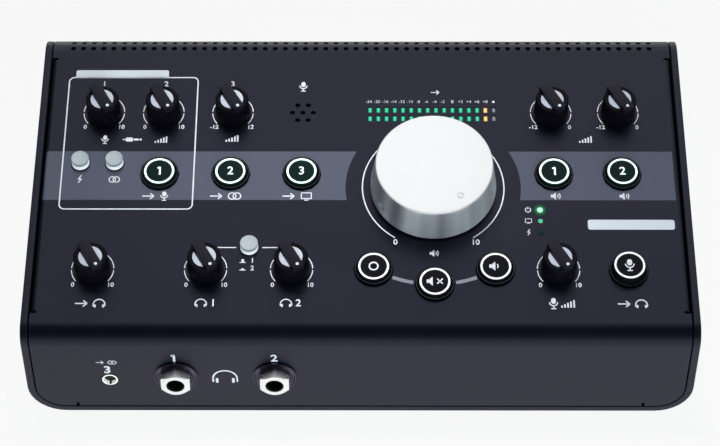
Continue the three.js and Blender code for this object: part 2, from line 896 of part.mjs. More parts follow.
function rearPanel() {
  const outline = trayOutline(coverHalfWidth, coverFoot, coverCorner, rollCentre.y);
  return solidOf(prismBack(outline, rearInner, rearFace)).subtract(rearPanelHoles());
}

// Board that carries the rear sockets, on four standoffs over the floor of the tray
function connectorBoardPlate() {
  const under = shellWall + connectorStandoff;
  const plate = block(
    [-connectorHalfWidth, rearInner - connectorReach, under],
    [connectorHalfWidth, rearInner - connectorInset, connectorTop],
  );
  const standoffs = [];
  for (const across of [standoffInset - connectorHalfWidth, connectorHalfWidth - standoffInset]) {
    for (const back of [connectorReach - 2 * standoffRadius, connectorInset + 2 * standoffRadius]) {
      const top = connectorTop - connectorBoard / 2;
      standoffs.push(pin(standoffRadius, shellWall + fitGap, top, standoffSides, across, rearInner - back));
    }
  }
  return plate.add(joined(standoffs));
}

function pairHeights() {
  return [socketFoot + pairWidth / 2, socketFoot + pairWidth / 2 + pairPitch];
}

function roundedFlange(x, z, width, height, corner) {
  const right = width / 2 - corner;
  const top = height / 2 - corner;
  const centres = [[right, top], [-right, top], [-right, -top], [right, -top]];
  return centres.flatMap(([across, up], i) => {
    const centre = new THREE.Vector2(x + across, z + up);
    return arc(centre, corner, i * Math.PI / 2, (i + 1) * Math.PI / 2, comboCornerSteps);
  });
}

// Socket for a three-pin plug or a jack plug
function comboJack(x) {
  const z = comboUp;
  const flangeFoot = rearFace + fitGap;
  const mouth = flangeFoot + comboFlange;
  const floor = mouth - comboMouthDepth;
  const outline = roundedFlange(x, z, comboFlangeWidth, comboFlangeHeight, comboCorner);
  const flange = solidOf(prismBack(outline, flangeFoot, mouth));
  const barrel = pinBack(comboBarrel, mouth - comboDepth, flangeFoot + fitGap, comboSides, x, z);
  const cuts = [
    pinBack(comboMouth, floor, mouth + overrun, comboSides, x, z),
    pinBack(jackBore, mouth - comboBoreDepth, mouth, jackSides, x, z),
  ];
  for (const turn of [-Math.PI / 4, Math.PI / 2, 5 * Math.PI / 4]) {
    const across = comboPinReach * Math.cos(turn);
    const up = comboPinReach * Math.sin(turn);
    cuts.push(pinBack(comboPinRadius, floor - comboPinDepth, mouth, comboPinSides, x + across, z + up));
  }
  return flange.add(barrel).subtract(joined(cuts));
}

// Two stacked jack sockets in one block, left over right
function lineJackPair(x) {
  const front = rearInner - fitGap;
  const body = block(
    [x - pairWidth / 2, front - pairDepth, socketFoot],
    [x + pairWidth / 2, front, socketFoot + pairWidth + pairPitch],
  );
  const nutFoot = rearFace + fitGap;
  const nutTop = nutFoot + pairNut;
  const solids = pairHeights().flatMap((z) => [
    pinBack(jackBushing, front - fitGap, nutFoot + fitGap, shaftSides, x, z),
    hexNut(pairNutFlats, nutFoot, nutTop, x, z),
  ]);
  const bores = pairHeights().map((z) => (
    pinBack(jackBore, nutTop - jackBoreDepth, nutTop + overrun, jackSides, x, z)
  ));
  return joined([body, ...solids]).subtract(joined(bores));
}

function usbSocket() {
  const x = usbAcross;
  const z = socketFoot + usbHeight / 2;
  const body = block(
    [x - usbWidth / 2, rearFace - usbDepth, socketFoot],
    [x + usbWidth / 2, rearFace, socketFoot + usbHeight],
  );
  const mouth = block(
    [x - usbMouthWidth / 2, rearFace - usbMouthDepth, z - usbMouthHeight / 2],
    [x + usbMouthWidth / 2, rearFace + overrun, z + usbMouthHeight / 2],
  );
  const tongue = block(
    [x - usbTongueWidth / 2, rearFace - usbMouthDepth - overrun, z - usbTongueHeight / 2],
    [x + usbTongueWidth / 2, rearFace - fitGap, z + usbTongueHeight / 2],
  );
  return body.subtract(mouth).add(tongue);
}

function powerInlet() {
  const x = inletAcross;
  const z = socketFoot + inletHeight / 2;
  const body = block(
    [x - inletWidth / 2, rearFace - inletDepth, socketFoot],
    [x + inletWidth / 2, rearFace, socketFoot + inletHeight],
  );
  const bore = pinBack(inletBore, rearFace - inletBoreDepth, rearFace + overrun, jackSides, x, z);
  const pinFoot = rearFace - inletBoreDepth - overrun;
  const centrePin = pinBack(inletPin, pinFoot, rearFace - fitGap, statusSides, x, z);
  return body.subtract(bore).add(centrePin);
}

function powerSwitchFrame() {
  const x = switchAcross;
  const z = comboUp;
  const face = rearFace + fitGap + switchFlange;
  const flange = block(
    [x - switchFlangeWidth / 2, rearFace + fitGap, z - switchFlangeHeight / 2],
    [x + switchFlangeWidth / 2, face, z + switchFlangeHeight / 2],
  );
  const body = block(
    [x - switchBodyWidth / 2, face - switchBodyDepth, z - switchBodyHeight / 2],
    [x + switchBodyWidth / 2, rearFace + 2 * fitGap, z + switchBodyHeight / 2],
  );
  const sweep = rockerSweep() + rockerPlay;
  const well = block(
    [x - sweep, face - rockerPivotDepth - sweep, z - rockerHeight / 2 - rockerPlay],
    [x + sweep, face + overrun, z + rockerHeight / 2 + rockerPlay],
  );
  return flange.add(body).subtract(well);
}

// Height of the rocker's ends over its pivot, and how far they reach from it
function rockerEnd() {
  return rockerPivotDepth + rockerProud - rockerWidth / 2 * Math.tan(rockerTilt);
}

function rockerSweep() {
  return Math.hypot(rockerWidth / 2, rockerEnd());
}

// The rocker is made about its pivot, leaning to its ON side
function powerRocker() {
  const half = rockerWidth / 2;
  const reach = rockerPivotDepth + rockerProud;
  const belly = arc(new THREE.Vector2(0, 0), rockerSweep(), Math.PI, 2 * Math.PI, rockerSteps);
  const outline = [
    new THREE.Vector2(half, rockerEnd()),
    new THREE.Vector2(0, reach),
    new THREE.Vector2(-half, rockerEnd()),
    ...belly.filter((point) => Math.abs(point.x) < half),
  ];
  const geometry = extruded(outline, rockerHeight).translate(0, 0, -rockerHeight / 2);
  return solidOf(geometry.rotateZ(rockerTilt));
}

// Finishes

const finishes = {
  tray: { color: 0x34343c, roughness: 0.55, metalness: 0.3 },
  cover: { color: 0x2f2f3a, roughness: 0.6, metalness: 0.3 },
  rubber: { color: 0x17171a, roughness: 0.9, metalness: 0 },
  silver: { color: 0xd9dce0, roughness: 0.3, metalness: 0.9 },
  knob: { color: 0x18181c, roughness: 0.6, metalness: 0 },
  button: { color: 0x1c1e22, roughness: 0.5, metalness: 0 },
  bezel: { color: 0x101014, roughness: 0.35, metalness: 0 },
  cap: { color: 0xc9cdd2, roughness: 0.4, metalness: 0.4 },
  steel: { color: 0xb9bcc0, roughness: 0.3, metalness: 0.9 },
  board: { color: 0x1f4a33, roughness: 0.6, metalness: 0 },
  clear: { color: 0xbfe8d8, roughness: 0.2, metalness: 0 },
  socket: { color: 0x151518, roughness: 0.5, metalness: 0 },
};

function piece(name, solid, finish) {
  const mesh = new THREE.Mesh(geometryOf(solid), new THREE.MeshStandardMaterial(finishes[finish]));
  mesh.name = name;
  return mesh;
}

function placed(mesh, x, y, z = 0) {
  mesh.position.set(x, y, z);
  return mesh;
}

// Assembly: the housing's frame stands on the feet, and the top's frame leans back from the corner line

const housing = new THREE.Group();
housing.position.z = footHeight;
housing.add(
  piece('base_chassis', baseChassis(), 'tray'),
  piece('rear_panel', rearPanel(), 'tray'),
  piece('connector_board', connectorBoardPlate(), 'board'),
  piece('mini_jack', miniJack(), 'steel'),
  ...jackPlaces.map((x, i) => piece(`headphone_jack_${i + 1}`, headphoneJack(x), 'steel')),
  ...comboPlaces.map((x, i) => piece(`combo_jack_${i + 1}`, comboJack(x), 'socket')),
  piece('line_jack_pair_in', lineJackPair(pairInAcross), 'socket'),
  piece('line_jack_pair_a', lineJackPair(pairAAcross), 'socket'),
  piece('line_jack_pair_b', lineJackPair(pairBAcross), 'socket'),
  piece('usb_socket', usbSocket(), 'steel'),
  piece('power_inlet', powerInlet(), 'socket'),
  piece('power_switch_frame', powerSwitchFrame(), 'socket'),
);
const rocker = piece('power_rocker', powerRocker(), 'socket');
const rockerFace = rearFace + fitGap + switchFlange;
housing.add(placed(rocker, switchAcross, rockerFace - rockerPivotDepth, comboUp));

const feet = new THREE.Group();
for (const [end, y] of [['front', footInset], ['rear', housingDepth - footInset]]) {
  for (const [side, x] of [['left', footInset - halfWidth], ['right', halfWidth - footInset]]) {
    feet.add(placed(piece(`foot_${end}_${side}`, foot(), 'rubber'), x, y));
  }
}

const top = new THREE.Group();
top.position.z = footHeight + frontHeight;
top.rotation.x = topSlope;
top.add(
  piece('top_cover', topCover(), 'cover'),
  piece('control_board', controlBoard(), 'board'),
  piece('left_button_bezel', buttonBezel(sourceButtons), 'bezel'),
  piece('middle_button_bezel', buttonBezel(volumeButtons), 'bezel'),
  piece('right_button_bezel', buttonBezel(speakerButtons), 'bezel'),
  piece('meter_light_guide', meterLightGuide(), 'clear'),
  piece('status_light_guide', statusLightGuide(), 'clear'),
  piece('talkback_mic', talkbackMic(), 'steel'),
  placed(piece('volume_pot', volumePot(), 'steel'), volumeAcross, volumeUp),
  placed(piece('volume_shaft', volumeShaft(), 'steel'), volumeAcross, volumeUp),
);

const volume = placed(piece('volume_knob', volumeKnob(), 'silver'), volumeAcross, volumeUp);
volume.rotation.z = -volumeTurn;
top.add(volume);

for (const { name, x, y } of smallKnobs) {
  const knob = placed(piece(name, smallKnob(), 'knob'), x, y);
  knob.rotation.z = -knobTurn;
  top.add(knob, placed(piece(name.replace('knob', 'shaft'), smallShaft(), 'steel'), x, y));
}
for (const button of roundButtons) {
  top.add(placed(piece(button.name, roundButton(button), 'button'), button.x, button.y));
}
for (const { name, x, y } of pushCaps) {
  top.add(placed(piece(name, pushCap(), 'cap'), x, y));
}

// The origin is at the bottom centre of the whole box
const controller = new THREE.Group();
controller.add(housing, feet, top);
controller.updateMatrixWorld(true);
const extent = new THREE.Box3().setFromObject(controller, true);
controller.position.y = -(extent.min.y + extent.max.y) / 2;

export default controller;
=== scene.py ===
import json
import math

import bpy
from mathutils import Matrix, Vector


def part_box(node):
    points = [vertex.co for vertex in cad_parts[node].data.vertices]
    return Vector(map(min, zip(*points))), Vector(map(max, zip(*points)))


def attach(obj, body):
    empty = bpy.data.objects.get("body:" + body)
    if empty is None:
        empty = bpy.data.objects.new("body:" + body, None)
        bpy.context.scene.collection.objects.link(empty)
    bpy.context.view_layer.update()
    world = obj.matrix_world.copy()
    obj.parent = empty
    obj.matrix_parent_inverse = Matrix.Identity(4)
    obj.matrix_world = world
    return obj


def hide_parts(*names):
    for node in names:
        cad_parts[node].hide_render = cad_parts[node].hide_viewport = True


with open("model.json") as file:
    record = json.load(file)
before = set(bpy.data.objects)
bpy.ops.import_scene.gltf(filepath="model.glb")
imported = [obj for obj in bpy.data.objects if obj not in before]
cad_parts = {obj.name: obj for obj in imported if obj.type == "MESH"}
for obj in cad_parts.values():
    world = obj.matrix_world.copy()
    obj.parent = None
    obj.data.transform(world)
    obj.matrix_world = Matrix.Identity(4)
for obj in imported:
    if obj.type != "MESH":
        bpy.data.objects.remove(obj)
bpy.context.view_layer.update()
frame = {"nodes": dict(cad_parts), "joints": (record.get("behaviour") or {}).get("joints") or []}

# Desk box that sets the level of studio speakers: folded steel top, big silver volume knob,
# small knobs, lit round buttons, level meter, sockets at the front and the back.
# Sizes in the dictionaries are millimetres and degrees.

nodes = frame["nodes"]
joints = {joint["name"]: joint for joint in frame["joints"]}
mm = 0.001
bpy.ops.object.select_all(action="DESELECT")

cameraLook = {
    "location": (2.947, -641.696, 720.829),
    "turn": (43.1768, 0.114, 0.1739),
    "lens": 113.98,
    "sensor": 36.0,
    "clip": 10.0,
}


def addCamera(look):
    bpy.ops.object.camera_add(
        location=[value * mm for value in look["location"]],
        rotation=[math.radians(value) for value in look["turn"]],
    )
    camera = bpy.context.object
    camera.data.lens = look["lens"]
    camera.data.sensor_width = look["sensor"]
    camera.data.clip_start = look["clip"] * mm
    bpy.context.scene.camera = camera
    camera.select_set(False)


addCamera(cameraLook)
print("camera is in place")

# Places worked out from the frame

volumeJoint = joints["volume_turn"]
across = Vector((1, 0, 0))
panelNormal = Vector(volumeJoint["axis"]).normalized()
upSlope = panelNormal.cross(across).normalized()
volumeFoot = Vector(volumeJoint["pos_m"])
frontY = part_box("top_cover")[0].y
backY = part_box("rear_panel")[1].y
cornerLine = volumeFoot - upSlope * ((volumeFoot.y - frontY) / upSlope.y)
cornerLine.x = 0


def frameOf(right, up, out, origin):
    matrix = Matrix((right, up, out)).transposed().to_4x4()
    matrix.translation = origin
    return matrix


# Each face of the box has its own axes: x to the right, y up, z out of the face
panelFrame = frameOf(across, upSlope, panelNormal, cornerLine)
frontFrame = frameOf(across, Vector((0, 0, 1)), Vector((0, -1, 0)), Vector((0, frontY, 0)))
backFrame = frameOf(-across, Vector((0, 0, 1)), Vector((0, 1, 0)), Vector((0, backY, 0)))
floorFrame = Matrix.Identity(4)


def place(face, x, y, z=0.0, turn=0.0):
    return face @ Matrix.Translation(Vector((x, y, z)) * mm) @ Matrix.Rotation(math.radians(turn), 4, "Z")


# Lowest and highest corner of a CAD node in the axes of a face, in millimetres
def spanOf(node, face):
    toFace = face.inverted()
    points = [toFace @ vertex.co / mm for vertex in nodes[node].data.vertices]
    low = Vector([min(point[i] for point in points) for i in range(3)])
    high = Vector([max(point[i] for point in points) for i in range(3)])
    return low, high


def middleOf(node, face):
    low, high = spanOf(node, face)
    return (low + high) / 2


# Where the axis of a turning knob meets the sloping panel
def seatOf(body):
    return panelFrame.inverted() @ Vector(joints[body + "_turn"]["pos_m"]) / mm


volumeSeat = seatOf("volume")


# Modelling by hand

def alone(piece):
    bpy.ops.object.select_all(action="DESELECT")
    piece.select_set(True)
    bpy.context.view_layer.objects.active = piece
    return piece


def editAll():
    bpy.ops.object.mode_set(mode="EDIT")
    bpy.ops.mesh.select_all(action="SELECT")


def editDone():
    bpy.ops.object.mode_set(mode="OBJECT")


# Every face is turned outward before edit mode ends
def closeUp():
    bpy.ops.mesh.select_all(action="SELECT")
    bpy.ops.mesh.normals_make_consistent(inside=False)
    editDone()


# Leaves edit mode, selects only the edges that pass the test, and goes back in
def pickEdges(piece, test):
    bpy.ops.mesh.select_mode(type="EDGE")
    bpy.ops.mesh.select_all(action="DESELECT")
    editDone()
    for edge in piece.data.edges:
        edge.select = test(edge)
    bpy.ops.object.mode_set(mode="EDIT")


def applyModifier(piece, kind, **settings):
    alone(piece)
    modifier = piece.modifiers.new(kind.title(), kind)
    for name, value in settings.items():
        setattr(modifier, name, value)
    bpy.ops.object.modifier_apply(modifier=modifier.name)
    return piece


def smooth(piece, angle=35):
    alone(piece)
    bpy.ops.object.shade_smooth_by_angle(angle=math.radians(angle))
    return piece


def rounded(piece, width, segments=2, angle=35):
    applyModifier(
        piece, "BEVEL", width=width * mm, segments=segments, limit_method="ANGLE",
        angle_limit=math.radians(angle),
    )
    return smooth(piece, angle)


def put(piece, matrix):
    alone(piece)
    piece.matrix_world = matrix
    bpy.ops.object.transform_apply(location=True, rotation=True, scale=True)
    return piece


def joined(pieces):
    bpy.ops.object.select_all(action="DESELECT")
    for piece in pieces:
        piece.select_set(True)
    bpy.context.view_layer.objects.active = pieces[0]
    if len(pieces) > 1:
        bpy.ops.object.join()
    return pieces[0]


def copyOf(piece):
    copy = piece.copy()
    copy.data = piece.data.copy()
    bpy.context.scene.collection.objects.link(copy)
    return copy


def copyTo(piece, matrix):
    return put(copyOf(piece), matrix)


def discard(*pieces):
    for piece in pieces:
        bpy.data.objects.remove(piece)


def cut(piece, tool, operation="DIFFERENCE"):
    applyModifier(piece, "BOOLEAN", object=tool, operation=operation, solver="EXACT")
    discard(tool)
    return piece


# A circle on the z axis is extruded, then scaled, from one radius and height pair to the next
def followProfile(profile, sides, fill):
    radius, height = profile[0]
    bpy.ops.mesh.primitive_circle_add(
        vertices=sides, radius=radius * mm, fill_type=fill, location=(0, 0, height * mm)
    )
    piece = bpy.context.object
    put(piece, piece.matrix_world.copy())
    editAll()
    for nextRadius, nextHeight in profile[1:]:
        bpy.ops.mesh.extrude_region_move(TRANSFORM_OT_translate={"value": (0, 0, (nextHeight - height) * mm)})
        growth = nextRadius / radius
        bpy.ops.transform.resize(value=(growth, growth, 1), center_override=(0, 0, nextHeight * mm))
        radius, height = nextRadius, nextHeight
    return piece


# A turned piece, closed at both ends, from the bottom up
def turned(profile, sides=64):
    piece = followProfile(profile, sides, "NGON")
    closeUp()
    return piece


# A turned ring: its section is followed round and closed by a bridge
def ring(section, sides=64):
    piece = followProfile(section, sides, "NOTHING")
    bpy.ops.mesh.select_mode(type="EDGE")
    bpy.ops.mesh.select_all(action="DESELECT")
    bpy.ops.mesh.select_non_manifold()
    bpy.ops.mesh.bridge_edge_loops()
    closeUp()
    return piece


def block(low, high):
    centre = [(a + b) / 2 * mm for a, b in zip(low, high)]
    bpy.ops.mesh.primitive_cube_add(size=mm, location=centre)
    piece = bpy.context.object
    piece.scale = [b - a for a, b in zip(low, high)]
    return put(piece, piece.matrix_basis.copy())


def barrel(radius, low, high, sides=48):
    return turned([(radius, low), (radius, high)], sides)


# A flat plate with rounded corners, lying on z = 0
def roundedPlate(width, height, thickness, corner, segments=6):
    bpy.ops.mesh.primitive_plane_add(size=mm)
    piece = bpy.context.object
    piece.scale = (width, height, 1)
    put(piece, piece.matrix_basis.copy())
    editAll()
    bpy.ops.mesh.bevel(offset=corner * mm, segments=segments, affect="VERTICES")
    bpy.ops.mesh.select_all(action="SELECT")
    bpy.ops.mesh.extrude_region_move(TRANSFORM_OT_translate={"value": (0, 0, thickness * mm)})
    closeUp()
    return piece


carriedLook = {"merge": 0.002, "flat": 0.2, "weight": 80}


# A CAD node's own shape, merged, with its edges rounded
def dressed(node, width=0.25, segments=2, angle=30):
    piece = copyOf(nodes[node])
    piece.parent = None
    for key in list(piece.keys()):
        del piece[key]
    alone(piece)
    editAll()
    bpy.ops.mesh.remove_doubles(threshold=carriedLook["merge"] * mm)
    bpy.ops.mesh.dissolve_limited(angle_limit=math.radians(carriedLook["flat"]))
    editDone()
    if width:
        rounded(piece, width, segments, angle)
    else:
        smooth(piece, angle)
    return applyModifier(piece, "WEIGHTED_NORMAL", keep_sharp=True, weight=carriedLook["weight"])


def finish(piece, name, body, slot, coat, *replaced):
    piece.name = name
    piece.data.name = name
    piece.data.materials.clear()
    piece.data.materials.append(finishes[coat].material)
    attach(piece, body)
    if replaced:
        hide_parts(*replaced)
    piece.select_set(False)
    return piece


# Shader arithmetic

class Wire:
    def __init__(self, tree, socket):
        self.tree = tree
        self.socket = socket

    def math(self, operation, first, second=None):
        node = self.tree.nodes.new("ShaderNodeMath")
        node.operation = operation
        for slot, value in zip(node.inputs, (first, second)):
            if isinstance(value, Wire):
                self.tree.links.new(value.socket, slot)
            elif value is not None:
                slot.default_value = value
        return Wire(self.tree, node.outputs[0])

    def __add__(self, other):
        return self.math("ADD", self, other)

    def __radd__(self, other):
        return self.math("ADD", other, self)

    def __sub__(self, other):
        return self.math("SUBTRACT", self, other)

    def __rsub__(self, other):
        return self.math("SUBTRACT", other, self)

    def __mul__(self, other):
        return self.math("MULTIPLY", self, other)

    def __rmul__(self, other):
        return self.math("MULTIPLY", other, self)

    def __pow__(self, other):
        return self.math("POWER", self, other)

    def __gt__(self, other):
        return self.math("GREATER_THAN", self, other)

    def __lt__(self, other):
        return self.math("LESS_THAN", self, other)


class Shading:
    def __init__(self, tree):
        self.tree = tree

    def feed(self, socket, value):
        if isinstance(value, Wire):
            self.tree.links.new(value.socket, socket)
        else:
            socket.default_value = value

    def node(self, kind, settings=None, inputs=None, output=0):
        made = self.tree.nodes.new("ShaderNode" + kind)
        for name, value in (settings or {}).items():
            setattr(made, name, value)
        for name, value in (inputs or {}).items():
            self.feed(made.inputs[name], value)
        return Wire(self.tree, made.outputs[output])

    def vector(self, operation, first, second, output=0):
        return self.node("VectorMath", {"operation": operation}, {0: first, 1: second}, output)

    def scaled(self, spot, scale):
        return self.node("VectorMath", {"operation": "SCALE"}, {0: spot, "Scale": scale})

    def lengthOf(self, spot):
        return self.node("VectorMath", {"operation": "LENGTH"}, {0: spot}, output=1)

    # A value eased from low to high while another runs from start to stop
    def eased(self, value, start, stop, low, high):
        return self.node("MapRange", {"interpolation_type": "SMOOTHSTEP"}, {
            "Value": value, "From Min": start, "From Max": stop, "To Min": low, "To Max": high,
        })


class Finish(Shading):
    def __init__(self, name, **constants):
        self.material = bpy.data.materials.new(name)
        self.material.use_nodes = True
        super().__init__(self.material.node_tree)
        self.shader = self.tree.nodes["Principled BSDF"]
        self.set(**constants)

    def set(self, **values):
        for name, value in values.items():
            self.feed(self.shader.inputs[name.replace("_", " ")], value)
        return self

    def coords(self):
        return self.scaled(self.node("TexCoord", output="Object"), 1.0)

    def noise(self, scale, detail=2.0, spot=None, roughness=0.5):
        return self.node("TexNoise", {}, {
            "Vector": spot or self.coords(), "Scale": scale, "Detail": detail, "Roughness": roughness,
        })

    # A value between low and high, following a factor from 0 to 1
    def between(self, factor, low, high):
        return factor * (high - low) + low

    def blend(self, factor, first, second):
        return self.node("Mix", {"data_type": "RGBA"}, {0: factor, 6: first, 7: second}, output=2)

    def bump(self, height, distance):
        normal = self.node("Bump", {}, {"Strength": 1.0, "Distance": distance * mm, "Height": height})
        return self.set(Normal=normal)


def shade(red, green, blue):
    linear = [c / 255 / 12.92 if c <= 10 else ((c / 255 + 0.055) / 1.055) ** 2.4 for c in (red, green, blue)]
    return (*linear, 1.0)


def toned(colour, factor):
    return [value * factor for value in colour[:3]] + [1.0]


# Patterns that the finishes share: size, detail, and how far they sway shade and roughness
patternLook = {
    "grainDetail": 3.0,
    "grainShare": 0.7,
    "cloud": 40.0,
    "cloudSway": 0.04,
    "haze": 60.0,
    "lineDetail": 4.0,
    "lineRoughness": 0.7,
    "lineShare": 0.6,
    "platedHaze": 300.0,
    "platedShade": 0.9,
    "platedSway": (0.05, 0.06),
    "lampCloud": 900.0,
    "lampGloss": 0.35,
    "inkCloud": 1500.0,
    "inkRoughness": 0.5,
    "faintShade": 0.93,
}


# Surfaces that carry fine grain all over: paint, moulded plastic, rubber
def grained(name, colour, roughness, grain=2600.0, depth=0.012, spread=0.12, **constants):
    coat = Finish(name, **constants)
    grains = coat.noise(grain, patternLook["grainDetail"])
    cloud = coat.noise(patternLook["cloud"])
    share, sway = patternLook["grainShare"], patternLook["cloudSway"]
    dark, light = toned(colour, 1 - spread), toned(colour, 1 + spread)
    coat.set(
        Base_Color=coat.blend(grains * share + cloud * (1 - share), dark, light),
        Roughness=coat.between(cloud, roughness - sway, roughness + sway),
    )
    return coat.bump(grains, depth)


coatLook = {
    "top": shade(10, 9, 19),
    "grain": 2200.0,
    "grainDepth": 0.03,
    "spread": 0.3,
    "gloss": 0.5,
    "sheen": shade(215, 215, 255),
    "roughness": 0.36,
    "band": shade(77, 82, 94),
    "bandGrain": 1800.0,
    "bandSpread": 0.08,
    "bandLow": 62.27,
    "bandHigh": 85.62,
    "bandLeft": -128.8,
    "bandRight": 126.2,
    "bandArc": 35.2,
    "skin": -0.3,
}


# Paint of the folded cover, with the lighter printed band that leaves an arc free round the volume knob
def coverPaint(look):
    coat = grained("cover_paint", look["top"], look["roughness"], look["grain"], look["grainDepth"],
                   look["spread"], Specular_IOR_Level=look["gloss"], Specular_Tint=look["sheen"])
    spot = coat.vector("SUBTRACT", coat.coords(), cornerLine)
    x, y, z = [coat.vector("DOT_PRODUCT", spot, direction / mm, output=1)
               for direction in (across, upSlope, panelNormal)]
    fromKnob = (x - volumeSeat.x) ** 2.0 + (y - volumeSeat.y) ** 2.0
    band = (y > look["bandLow"]) * (y < look["bandHigh"]) * (z > look["skin"])
    band = band * (x > look["bandLeft"]) * (x < look["bandRight"]) * (fromKnob > look["bandArc"] ** 2)
    paint = Wire(coat.tree, coat.shader.inputs["Base Color"].links[0].from_socket)
    dark, light = [toned(look["band"], 1 + side * look["bandSpread"]) for side in (-1, 1)]
    lighter = coat.blend(coat.noise(look["bandGrain"]), dark, light)
    return coat.set(Base_Color=coat.blend(band, paint, lighter))


# Turned aluminium: fine rings on the top, and round the side soft light and dark strips in its colour, a
# painted reflection
def turnedMetal(name, look, centre, axis):
    coat = Finish(name, Metallic=look["metallic"])
    spot = coat.vector("SUBTRACT", coat.coords(), centre)
    height = coat.vector("DOT_PRODUCT", spot, axis, output=1)
    out = coat.vector("SUBTRACT", spot, coat.scaled(axis, height))
    turn = coat.node("CombineXYZ", {}, {
        "X": coat.lengthOf(out) * look["lineStretch"], "Y": height * look["lineStretch"], "Z": 0.0,
    })
    lines = coat.noise(look["lines"], patternLook["lineDetail"], turn, patternLook["lineRoughness"])
    haze = coat.noise(patternLook["haze"])
    share = patternLook["lineShare"]
    around = coat.node("VectorMath", {"operation": "NORMALIZE"}, {0: out})
    # Painted reflection: noise round the axis lays light and dark strips into the side's colour
    reflectionStrips = coat.noise(look["reflectionStrips"], look["reflectionStripDetail"], around)
    top = coat.blend(haze, look["topShade"], look["top"])
    side = coat.blend((reflectionStrips - 0.5) * look["contrast"] + 0.5, look["sidePaintedShade"], look["side"])
    coat.set(
        Base_Color=coat.blend(height < look["sideTop"] * mm, top, side),
        Roughness=coat.between(lines * share + haze * (1 - share), look["smoothest"], look["roughest"]),
    )
    return coat.bump(lines, look["groove"])


def plated(name, colour, roughness, metallic=1.0):
    coat = Finish(name, Metallic=metallic)
    haze = coat.noise(patternLook["platedHaze"], patternLook["grainDetail"])
    down, up = patternLook["platedSway"]
    return coat.set(
        Base_Color=coat.blend(haze, toned(colour, patternLook["platedShade"]), colour),
        Roughness=coat.between(haze, roughness - down, roughness + up),
    )


# Lit plastic, a little cloudy
def glowing(name, colour, strength, base=(0.8, 0.8, 0.8, 1.0)):
    coat = Finish(name, Base_Color=base, Roughness=patternLook["lampGloss"], Emission_Strength=strength)
    faint = toned(colour, patternLook["faintShade"])
    return coat.set(Emission_Color=coat.blend(coat.noise(patternLook["lampCloud"]), faint, colour))


def printed(name, colour):
    coat = Finish(name, Roughness=patternLook["inkRoughness"])
    faint = toned(colour, patternLook["faintShade"])
    return coat.set(Base_Color=coat.blend(coat.noise(patternLook["inkCloud"]), faint, colour))


